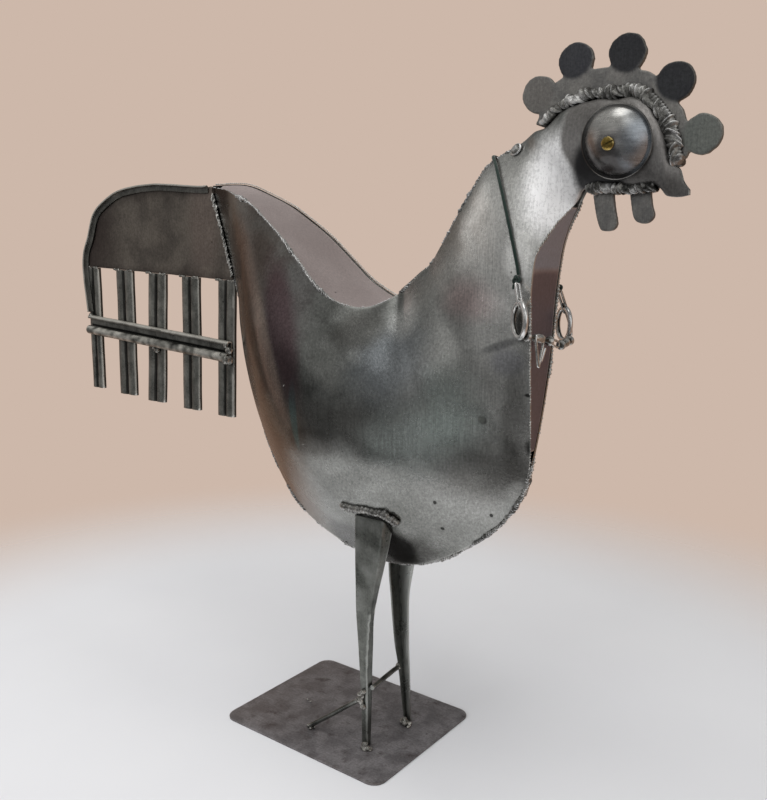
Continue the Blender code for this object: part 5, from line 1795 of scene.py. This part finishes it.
@dataclass
class Stand(SubAssembly):
    """The base plate, the folded legs, the rods between them and their welds."""

    plate_size: Flat = (138.0, 112.0)
    plate_thickness: float = 1.5
    plate_centre: Flat = (-1.4, 1.0)
    plate_corner: float = 9.0
    leg_sheet: float = 1.5
    # Each leg from the foot up: z, the outer face's y, the x of the free edge and the fold, and the depth.
    right_leg: Table = (
        (1.8, -24, 31.2, 35.4, 4.4),
        (33.5, -24.6, 30.6, 35.7, 5.4),
        (68.5, -25.2, 28.8, 36, 6.5),
        (98.5, -25.8, 26.9, 38.9, 5.2),
        (136.5, -26.5, 26.6, 46.6, 7.8),
        (164.1, -27, 26.9, 50.2, 9),
    )
    left_leg: Table = (
        (1.8, 21.5, 39.7, 35.4, 3.5),
        (41.5, 21.5, 37.8, 31.8, 5.5),
        (63.9, 21.5, 36.9, 30, 8.5),
        (94.1, 21.5, 36.6, 28.2, 10.5),
        (116.5, 21.5, 40, 26.8, 11.5),
        (154.7, 21.5, 45, 26.6, 12),
    )
    top_slopes: Flat = (1.25, 1.45)
    patch_height: float = 98.0
    rod: float = 3.3
    cross_rod: Line = ((37.8, -22.0, 44.5), (32.4, 15.2, 43.1))
    strut: Line = ((-10.8, -29.5, 3.1), (28.7, -24.9, 33.8))
    right_bead: tuple[Place, ...] = (
        (19.5, -29, 167.8), (34, -28.7, 168.1), (46, -27.2, 168), (51.5, -25.9, 166.4),
        (57, -23, 162.2),
    )
    left_bead: tuple[Place, ...] = (
        (21, 23, 158.9), (33, 22.8, 159), (44, 21.8, 159.6), (50, 20.5, 159.4),
    )
    feet: tuple[Flat, Flat] = ((36.6, -27.1), (39.0, 14.3))
    # The other tacks and the spatter on the plate, each with its radius.
    tack_marks: tuple[tuple[Place, float], ...] = (
        ((33.5, -26, 42), 2.2), ((33.5, -26, 31), 2.6), ((32.4, 14.6, 43.4), 2.2), ((-38, -2, 1.7), 0.8),
        ((-34, -3, 1.7), 0.9), ((-42, 4, 1.7), 0.5), ((-20, 10, 1.7), 0.5), ((43.5, 13, 2.2), 1.6),
    )

    def base(self) -> None:
        """The base plate, with round corners and edges worn a little round."""
        middle_x, middle_y = self.plate_centre
        reach_x, reach_y = (size / 2 - self.plate_corner for size in self.plate_size)
        steps = 10
        outline = []
        for quarter, (x, y) in enumerate(((1, 1), (-1, 1), (-1, -1), (1, -1))):
            for k in range(steps + 1):
                angle = math.pi / 2 * (quarter + k / steps)
                outline.append((
                    middle_x + x * reach_x + self.plate_corner * math.cos(angle),
                    middle_y + y * reach_y + self.plate_corner * math.sin(angle), 0,
                ))
        piece = extruded("base_plate_cut", outline, (0, 0, self.plate_thickness))
        soften(piece, 0.35, segments=3)
        self.shop.deliver(piece, PLATE_STEEL, ["base_plate"])

    def leg(self, side: Side) -> None:
        """One leg: a tapered strip folded to an angle, its top cut to the belly's slope.

        Args:
            side: Which leg.
        """
        stations = self.right_leg if side is Side.RIGHT else self.left_leg
        slope = self.top_slopes[0 if side is Side.RIGHT else 1]
        inward = -side.value
        half_wall = self.leg_sheet / 2

        def surface(u: float, v: float) -> Place:
            """The strip's middle face, from the foot up.

            Args:
                u: The share across it.
                v: The share along it.

            Returns:
                The place.
            """
            t = v * (len(stations) - 1)
            z, outer, free, fold, depth = curve_point(stations, t)
            wall = half_wall if fold > free else -half_wall
            section = rounded([(free, half_wall), (fold - wall, half_wall), (fold - wall, depth)], 1.0, 6)
            x, d = along(section, u)
            share = max(0.0, t - (len(stations) - 2))
            x += 0.25 * wander((x, side.value * 40, z), 22.0, 5.0)
            return (x, outer + inward * d, z - share * slope * d)

        piece = grid_sheet(f"folded_leg_{side.label}", 22, 80, surface)
        thicken(piece, self.leg_sheet, 0.0)
        soften(piece, 0.3, angle=60)

        def wear(point: Vector) -> float:
            """Dark lines along the fold, and faces painted lighter or darker for light and shade.

            The far leg's faces are lightened and the near leg's flange darkened, with a painted highlight on
            its free edge; low down the near leg's fold is lighter, partly worn and partly highlight.

            Args:
                point: A place on the piece.

            Returns:
                How worn it is, and how it is painted for light and shade.
            """
            for low, high in zip(stations, stations[1:]):
                if point.z <= high[0] or high is stations[-1]:
                    share = (point.z - low[0]) / (high[0] - low[0])
                    _, outer, _, fold, depth = (a + (b - a) * share for a, b in zip(low, high))
                    break
            off = abs(point.x - fold)
            streak = 0.3 * wander((point.x * 6, point.y * 6, point.z), 30.0, 4.0)
            # Painted light and shade: the far leg's faces are lightened; the near leg's flange is darkened,
            # with a painted highlight on its free edge.
            if side is Side.LEFT:
                flange = 0.75 if point.y > stations[0][1] - 2.0 else 0.7
                return streak + flange - (1.3 if 0.9 < off < 1.9 else 0.0)
            deep = point.y - outer
            if point.z > self.patch_height:
                patch = 0.5 * wander(point, 11.0, 6.0) + 0.1
                if off < 1.4 and deep < 1.6:
                    return patch - 0.4
                return patch + (0.9 if deep > depth - 0.9 else -0.3 if deep > 1.2 else 0.0)
            return streak + (0.5 if off < 0.9 and deep < 1.2 else 0.0) - (0.35 if deep > 1.2 else 0.0)

        paint_wear(piece, wear)
        self.shop.deliver(piece, LEG_STEEL, [f"{side.label}_leg"])

    def rods(self) -> None:
        """The round rod between the legs and the strut behind the right one, each a little bent."""
        for name, node, (start, end) in (
            ("rod_between_legs", "leg_cross_rod", self.cross_rod),
            ("strut_rod", "rear_strut", self.strut),
        ):
            path = []
            for k in range(25):
                point = Vector(start).lerp(Vector(end), k / 24)
                path.append(point + Vector((0, 0, 0.3 * wander(point, 18.0, 4.0))))
            piece = bent_wire(name, path, self.rod, sides=4)
            paint_wear(piece, lambda point: -0.5 + 0.5 * wander(point, 7.0))
            self.shop.deliver(piece, LEG_STEEL, [node])

    def welds(self) -> None:
        """The beads at the legs' tops, and the blobs at the feet, the rods and on the plate."""
        for side, route in zip(Side, (self.right_bead, self.left_bead)):
            run = (route, (0, side.value, -0.65))
            bead = self.shop.welder.lay(f"leg_bead_{side.label}", [run], Bead.FILLET, scale=1.1, patchy=0.2)
            self.shop.deliver(bead, WELD_METAL, [f"weld_leg_{side.label}"])
        lowest = self.plate_thickness - 0.2
        for side, (x, y) in zip(Side, self.feet):
            z = self.plate_thickness + 0.8
            row = (-3.2, -1.6, 0.0, 1.6, 3.2)
            drops = [((x + d, y + 0.4 * abs(d), z), 2.9 - 0.35 * abs(d)) for d in row]
            drops.append(((x - 0.4, y + 0.3, z + 2.4), 2.3))
            blob = self.shop.welder.spots(f"foot_blob_{side.label}", drops, lowest=lowest)
            self.shop.deliver(blob, BRIGHT_WELD, [f"weld_foot_{side.label}"])
        base, top = self.strut
        marks = [((base[0] - 2, base[1], 2.2), 1.3), ((base[0] + 1.5, base[1] - 1.5, 2.0), 1.1),
                 ((base[0] + 2.5, base[1] + 1.2, 2.0), 1.0), ((top[0] + 2, top[1] - 0.8, top[2] + 1), 3.0),
                 ((top[0] + 3.5, top[1] - 1, top[2] + 5), 2.4), *self.tack_marks]
        tacks = self.shop.welder.spots("stand_tacks", marks, lowest=lowest)
        self.shop.deliver(tacks, BRIGHT_WELD)

    def build(self) -> None:
        """Builds the stand."""
        self.base()
        for side in Side:
            self.leg(side)
        self.rods()
        self.welds()


@dataclass
class Necklace(SubAssembly):
    """The green cord over the neck, its two knots and the small jointed bit that hangs from it."""

    diameter: float = 2.0
    spacing: float = 0.7
    twist_pitch: float = 3.4
    # From the right knot over the neck to the left one.
    route: tuple[Place, ...] = (
        (134.9, -19.5, 318.5), (133.9, -19.4, 323.5), (132.4, -19.3, 329), (130.9, -19.2, 334.6),
        (129.6, -19, 338.6), (128.4, -18.7, 342.7), (126.8, -18.1, 346.9), (125.3, -17.3, 351),
        (123.6, -16.4, 355.1), (121.9, -15.4, 359.3), (120, -14.1, 363.5), (117.9, -12.7, 367.8),
        (115.6, -10.8, 372.1), (113, -8.5, 376.5), (111.2, -6.6, 379), (109.4, -4.8, 381.2),
        (107.9, -3.4, 382.8), (106.8, -1.9, 383.8), (106.5, 0, 384.1), (106.8, 1.9, 383.8),
        (107.9, 3.4, 382.8), (109.4, 4.8, 381.2), (111.2, 6.6, 379), (113, 8.5, 376.5),
        (115.4, 10.8, 372.1), (117.7, 12.7, 367.7), (119.9, 14.2, 363.1), (122.1, 15.6, 358.5),
        (124.3, 16.9, 353.5), (126.6, 18, 348), (128.8, 18.8, 342.4), (131, 19.2, 336.5),
        (133.1, 19.3, 330.5), (135.2, 19.3, 324.5), (137.3, 19.3, 318.5), (139.2, 19.2, 312.9),
    )
    knot_radius: float = 2.2
    knots: Line = ((134.1, -19.9, 315.7), (140.2, 19.6, 310.4))
    ring_radius: float = 9.4
    ring_wire: float = 3.0
    ring_sideways: Place = (0.74, -0.67, 0.0)
    rings: Line = ((140.3, -26.5, 294.5), (141.6, 26.0, 289.3))
    link_wire: float = 1.4
    hanger_wire: float = 1.6
    hanger_width: float = 3.5
    mouth_right: Line = ((144.9, -28.5, 286.5), (150.1, -6.6, 282.1))
    mouth_left: Line = ((150.1, 3.8, 278.9), (148.4, 21.5, 280.7))
    centre_link: Line = ((150.1, -6.1, 281.9), (150.1, 3.3, 279.1))
    drop_link: Line = ((147.9, -17.0, 286.8), (147.9, -17.0, 270.1))

    def cord(self) -> None:
        """The cord as a twisted tube along its route, and its two knots."""
        path = even_points(self.route, self.spacing)

        def surface(u: float, v: float) -> Place:
            """The cord's skin, with three strands that wind along it.

            Args:
                u: The share across it.
                v: The share along it.

            Returns:
                The place.
            """
            t = v * (len(path) - 1)
            here = Vector(curve_point(path, t))
            ahead = Vector(curve_point(path, min(len(path) - 1.0, t + 0.5)))
            ahead -= Vector(curve_point(path, max(0.0, t - 0.5)))
            ahead.normalize()
            side = Vector((0.2, 1.0, 0.1)).cross(ahead).normalized()
            up = ahead.cross(side)
            angle = 2 * math.pi * u
            wind = 2 * math.pi * t * self.spacing / (3 * self.twist_pitch)
            radius = self.diameter / 2 * (0.93 + 0.07 * abs(math.cos(1.5 * (angle - wind))) ** 0.5)
            return here + (side * math.cos(angle) + up * math.sin(angle)) * radius

        piece = grid_sheet("green_cord", 24, len(path) - 1, surface)
        edit_whole(piece)
        bpy.ops.mesh.remove_doubles(threshold=MERGE)
        bpy.ops.mesh.select_all(action="SELECT")
        bpy.ops.mesh.fill_holes(sides=0)
        close_mesh()
        smooth(piece, 60)
        self.shop.deliver(piece, GREEN_CORD, ["necklace_cord"])
        ties = [self.knot(side, centre) for side, centre in zip(Side, self.knots)]

    def knot(self, side: Side, centre: Place) -> Piece:
        """One overhand knot with its short cut end.

        Args:
            side: Whose end it ties.
            centre: Its middle.

        Returns:
            The knot.
        """
        path = []
        for k in range(90):
            angle = 2 * math.pi * k / 90
            out = 1.4 + 0.5 * math.cos(3 * angle)
            path.append((
                centre[0] + out * math.cos(2 * angle), centre[1] + 0.85 * math.sin(3 * angle),
                centre[2] + out * math.sin(2 * angle) * 1.1,
            ))
        coil = bent_wire("coil", path, 1.6, closed=True)
        steps = ((-0.6, 0, -1.2), (-1.6, -0.4, -3.0), (-1.4, -0.9, -5.0))
        end = [Vector(centre) + Vector(step) for step in steps]
        stub = bent_wire("stub", even_points(end, 0.5), 1.2)
        piece = joined(f"cord_tie_{side.label}", [coil, stub])
        return self.shop.deliver(piece, GREEN_CORD, [f"cord_knot_{side.label}"])

    def oval(
        self, start: Sequence[float], end: Sequence[float], width: float, sideways: Sequence[float]
    ) -> list[Place]:
        """The middle line of an oval link from start to end.

        Args:
            start: Its first end.
            end: Its other end.
            width: Its width outside.
            sideways: The direction of its width.

        Returns:
            The line's points.
        """
        first, last = Vector(start), Vector(end)
        ahead = (last - first).normalized()
        across = (Vector(sideways) - ahead * Vector(sideways).dot(ahead)).normalized()
        radius = (width - self.link_wire) / 2
        inset = ahead * (radius + self.link_wire / 2)
        path = []
        for centre, sign in ((first + inset, -1), (last - inset, 1)):
            for k in range(13):
                angle = math.pi * k / 12
                out = ahead * math.sin(angle) - across * math.cos(angle)
                path.append(tuple(centre + out * sign * radius))
        return path

    def bit(self) -> None:
        """The rings, hangers, mouth bars and links of the bit."""
        sideways = Vector(self.ring_sideways).normalized()
        upwards = Vector((0, 0, 1))
        for side, centre, knot in zip(Side, self.rings, self.knots):
            angles = (2 * math.pi * k / 72 for k in range(72))
            outs = (sideways * math.cos(angle) + upwards * math.sin(angle) for angle in angles)
            path = [Vector(centre) + out * self.ring_radius for out in outs]
            ring = bent_wire(f"loose_ring_{side.label}", path, self.ring_wire, closed=True, sides=5)
            middle = Vector(centre)
            # Painted light and shade: the outer half of the wire is painted bright, its inner half black.
            paint_wear(ring, lambda point: 0.7 if (point - middle).length > self.ring_radius - 1.2 else -1.0)
            self.shop.deliver(ring, NICKEL, [f"bit_ring_{side.label}"])
            top = Vector(centre) + upwards * self.ring_radius
            ahead = (Vector(knot) - top).normalized()
            low = top - ahead * (self.ring_wire / 2 + GAP + self.link_wire + 0.6)
            high = Vector(knot) - ahead * (self.knot_radius + GAP - 1.0)
            link = self.oval(low, high, self.hanger_width, sideways.cross(ahead))
            link = bent_wire("link", link, self.hanger_wire, True)
            middle = top + ahead * 1.2
            collar = self.oval(middle - sideways * 3.2, middle + sideways * 3.2, 3.6, ahead)
            collar = bent_wire("collar", collar, self.hanger_wire, True)
            low_end = Vector(self.mouth_right[0] if side is Side.RIGHT else self.mouth_left[1])
            cheeks = []
            for shift in (-0.9, 0.9):
                start = top + sideways * (1.6 + shift) + Vector((0, 0, -1.0))
                stop = low_end + sideways * shift + Vector((0, 0, 2.6))
                route = [start, start.lerp(stop, 0.5) + sideways * 2.2, stop]
                cheeks.append(bent_wire("cheek", even_points(route, 1.0), self.hanger_wire))
            piece = joined(f"hanger_{side.label}", [link, collar] + cheeks)
            paint_wear(piece, lambda point: 1.6 * wander(point, 4.0, 2.0))
            self.shop.deliver(piece, NICKEL, [f"bit_hanger_{side.label}"])
        for name, node, (start, end) in (
            ("mouth_bar_right", "bit_mouth_right", self.mouth_right),
            ("mouth_bar_left", "bit_mouth_left", self.mouth_left),
        ):
            axis = Vector(end) - Vector(start)
            length = axis.length
            ball = ((0.0, 0.0), (1.4, 0.15), (2.5, 0.8), (2.9, 1.9), (2.5, 3.1), (1.5, 4.2))
            swell = ((1.3, 0.3), (2.1, 0.36), (2.6, 0.46), (2.6, 0.56), (2.1, 0.66), (1.3, 0.72))
            profile = [*ball, *((radius, length * share) for radius, share in swell),
                       *((radius, length - height) for radius, height in ball[::-1])]
            bar = turned(name, profile, 28, axis, start)
            foot, ahead = Vector(start), axis.normalized()
            paint_wear(bar, lambda point: -0.85 if ((point - foot).cross(ahead)).length < 1.75 else 0.0)
            self.shop.deliver(bar, NICKEL, [node])
        centre = bent_wire("centre_ring", self.oval(*self.centre_link, 4.6, upwards), self.link_wire, True)
        self.shop.deliver(centre, NICKEL, ["bit_centre_link"])
        hook, foot = (Vector(place) for place in self.drop_link)
        loop = [hook + Vector((0, -4.4, -2.6)), foot + Vector((0, -0.7, 0.4)), foot + Vector((0, 0.7, 0.4)),
                hook + Vector((0, 5.0, -4.0)), hook + Vector((0, 3.6, -1.6)), hook + Vector((0, -2.8, -0.6))]
        loop = [curve_point(loop + loop[:1], k / 8) for k in range(48)]
        bar = bent_wire("toggle", [foot + Vector((0, 2.2, 1.4)), foot + Vector((0, 6.6, 8.2))], 2.2)
        drop = joined("drop_loop", [bent_wire("loop", loop, 1.8, True), bar])
        self.shop.deliver(drop, NICKEL, ["bit_drop_link"])

    def build(self) -> None:
        """Builds the cord first, then the bit."""
        self.cord()
        self.bit()


@dataclass
class Studio:
    """The camera at the photograph's viewing angle, the pale floor, the soft lights and the room's glow."""

    eye: Place = (363.8, -444.7, 331.5)
    azimuth: float = 37.0
    pitch: float = 9.866
    roll: float = 0.51
    focal_pixels: float = 865.1
    frame_pixels: tuple[int, int] = (767, 800)
    floor_size: float = 4.0
    floor_colours: tuple[str, str] = ("#d3d5da", "#d9dbdf")
    floor_fade: Flat = (0.32, 0.66)
    mirror_shrink: float = 1.6
    room_low: str = "#565656"
    room_behind: str = "#957c6c"
    room_high: str = "#7a7a79"
    backdrop: str = "#cdb8aa"
    # Each window's azimuth, elevation, inner and outer angles, and strength.
    windows: Table = (
        (-22.0, 18.0, 8.0, 40.0, 0.5),
        (-55.0, 50.0, 4.0, 20.0, 0.55),
        (-108.0, 27.0, 4.0, 24.0, 0.12),
        (-158.0, 10.0, 3.0, 16.0, 0.15),
        (-120.0, 82.0, 5.0, 22.0, 1.6),
        (-86.0, -14.0, 3.0, 17.0, 0.1),
    )

    def camera(self) -> None:
        """Stands the camera where the photograph was taken from."""
        data = bpy.data.cameras.new("camera")
        data.sensor_width = 36.0
        data.lens = self.focal_pixels / max(self.frame_pixels) * data.sensor_width
        data.clip_start = 0.01
        data.clip_end = 100.0
        camera = bpy.data.objects.new("camera", data)
        turn = Matrix.Rotation(math.radians(self.azimuth), 4, "Z")
        turn = turn @ Matrix.Rotation(math.radians(90 - self.pitch), 4, "X")
        turn = turn @ Matrix.Rotation(math.radians(self.roll), 4, "Z")
        camera.matrix_world = Matrix.Translation(Vector(self.eye) * MM) @ turn
        bpy.context.scene.collection.objects.link(camera)
        bpy.context.scene.camera = camera

    def floor(self) -> None:
        """Lays a wide pale table top whose far parts melt into the room."""
        deselect_all()
        bpy.ops.mesh.primitive_plane_add(size=self.floor_size, location=(0, 0, 0))
        floor = new_piece("pale_floor")
        material = bpy.data.materials.new("pale_table")
        material.use_nodes = True
        tree = material.node_tree
        shader = tree.nodes["Principled BSDF"]
        shader.inputs["Roughness"].default_value = 0.6
        add = partial(add_node, tree)
        place = add("TexCoord", output="Object")
        cloud = add("TexNoise", {"Scale": 9.0, "Detail": 5.0}, {"Vector": place})
        dark, light = (tone(colour) for colour in self.floor_colours)
        colour = add("Mix", {**COLOURS, UNDER: dark, OVER: light}, {0: cloud}, MIXED)
        away = add("VectorMath", {"operation": "LENGTH"}, {0: place}, "Value")
        seen = add("LightPath", output="Is Camera Ray")
        mirrored = add("MapRange", {"To Min": self.mirror_shrink, "To Max": 1.0}, {"Value": seen})
        away = add("Math", {"operation": "MULTIPLY"}, {0: away, 1: mirrored})
        near, far = self.floor_fade
        fade = {**EASED, "From Min": near, "From Max": far, "To Min": 1.0, "To Max": 0.0}
        cover = add("MapRange", fade, {"Value": away})
        tree.links.new(colour, shader.inputs["Base Color"])
        tree.links.new(cover, shader.inputs["Alpha"])
        floor.data.materials.append(material)

    def light(self, name: str, place: Place, target: Place, size: Flat, power: float, colour: str) -> None:
        """Hangs one soft box that lights the table but doesn't mirror in the metal.

        Args:
            name: Its name.
            place: Where it hangs, in metres.
            target: What it faces, in metres.
            size: Its width and height, in metres.
            power: Its power in watts.
            colour: Its sRGB hex colour.
        """
        data = bpy.data.lights.new(name, "AREA")
        data.shape = "RECTANGLE"
        data.size, data.size_y = size
        data.energy = power
        data.color = tone(colour)[0:3]
        lamp = bpy.data.objects.new(name, data)
        lamp.location = place
        lamp.rotation_euler = (Vector(target) - Vector(place)).to_track_quat("-Z", "Y").to_euler()
        lamp.visible_glossy = False
        bpy.context.scene.collection.objects.link(lamp)

    def room(self) -> None:
        """Lights the room that the metal mirrors: dim below, warm behind the bird, with soft windows."""
        world = bpy.data.worlds.new("room")
        world.use_nodes = True
        tree = world.node_tree
        tree.nodes.clear()
        add = partial(add_node, tree)
        place = add("TexCoord", output="Generated")
        parts = add("SeparateXYZ", links={0: place}).node.outputs
        rise, wall = (
            add("MapRange", {**EASED, "From Min": start, "From Max": end}, {"Value": parts[axis]})
            for axis, start, end in (("Z", 0.0, 0.45), ("Y", -0.65, 0.15))
        )
        dim, warm = tone(self.room_low), tone(self.room_behind)
        low = add("Mix", {**COLOURS, UNDER: dim, OVER: warm}, {0: wall}, MIXED)
        glow = add("Mix", {**COLOURS, OVER: tone(self.room_high)}, {0: rise, UNDER: low}, MIXED)
        for azimuth, elevation, inner, outer, strength in self.windows:
            a, e = math.radians(azimuth), math.radians(elevation)
            towards = (math.cos(a) * math.cos(e), math.sin(a) * math.cos(e), math.sin(e))
            facing = add("VectorMath", {"operation": "DOT_PRODUCT", 1: towards}, {0: place}, "Value")
            start, full = (math.cos(math.radians(angle)) for angle in (outer, inner))
            glare = {**EASED, "From Min": start, "From Max": full, "To Max": strength}
            pane = add("MapRange", glare, {"Value": facing})
            glow = add("VectorMath", {"operation": "ADD"}, {0: glow, 1: pane})
        seen = add("LightPath", output="Is Camera Ray")
        shown = add("Mix", {**COLOURS, OVER: tone(self.backdrop)}, {0: seen, UNDER: glow}, MIXED)
        background = add("Background", {"Strength": 1.0}, {"Color": shown})
        output = tree.nodes.new("ShaderNodeOutputWorld")
        tree.links.new(background, output.inputs["Surface"])
        bpy.context.scene.world = world

    def build(self) -> None:
        """Sets up the whole studio."""
        self.camera()
        self.floor()
        self.room()
        self.light("soft_box_over", (-0.1, -0.3, 1.7), (0, 0, 0), (1.8, 1.5), 24.0, "#fffaf4")
        self.light("soft_box_front", (-0.2, -1.6, 0.8), (0, 0, 0.3), (1.4, 1.0), 16.0, "#fbfcff")
        scene = bpy.context.scene
        scene.view_settings.view_transform = "Standard"


def main() -> None:
    """Builds the studio and the whole bird."""
    logging.basicConfig(level=logging.INFO, format="%(name)s: %(message)s")
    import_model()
    deselect_all()
    Studio().build()
    shop = Workshop(Welder(), {})
    for part in (Necklace, Body, Head, Tail, Stand):
        part(shop).build()
        LOG.info("%s is done", part.__name__)


if __name__ == "__main__":
    main()
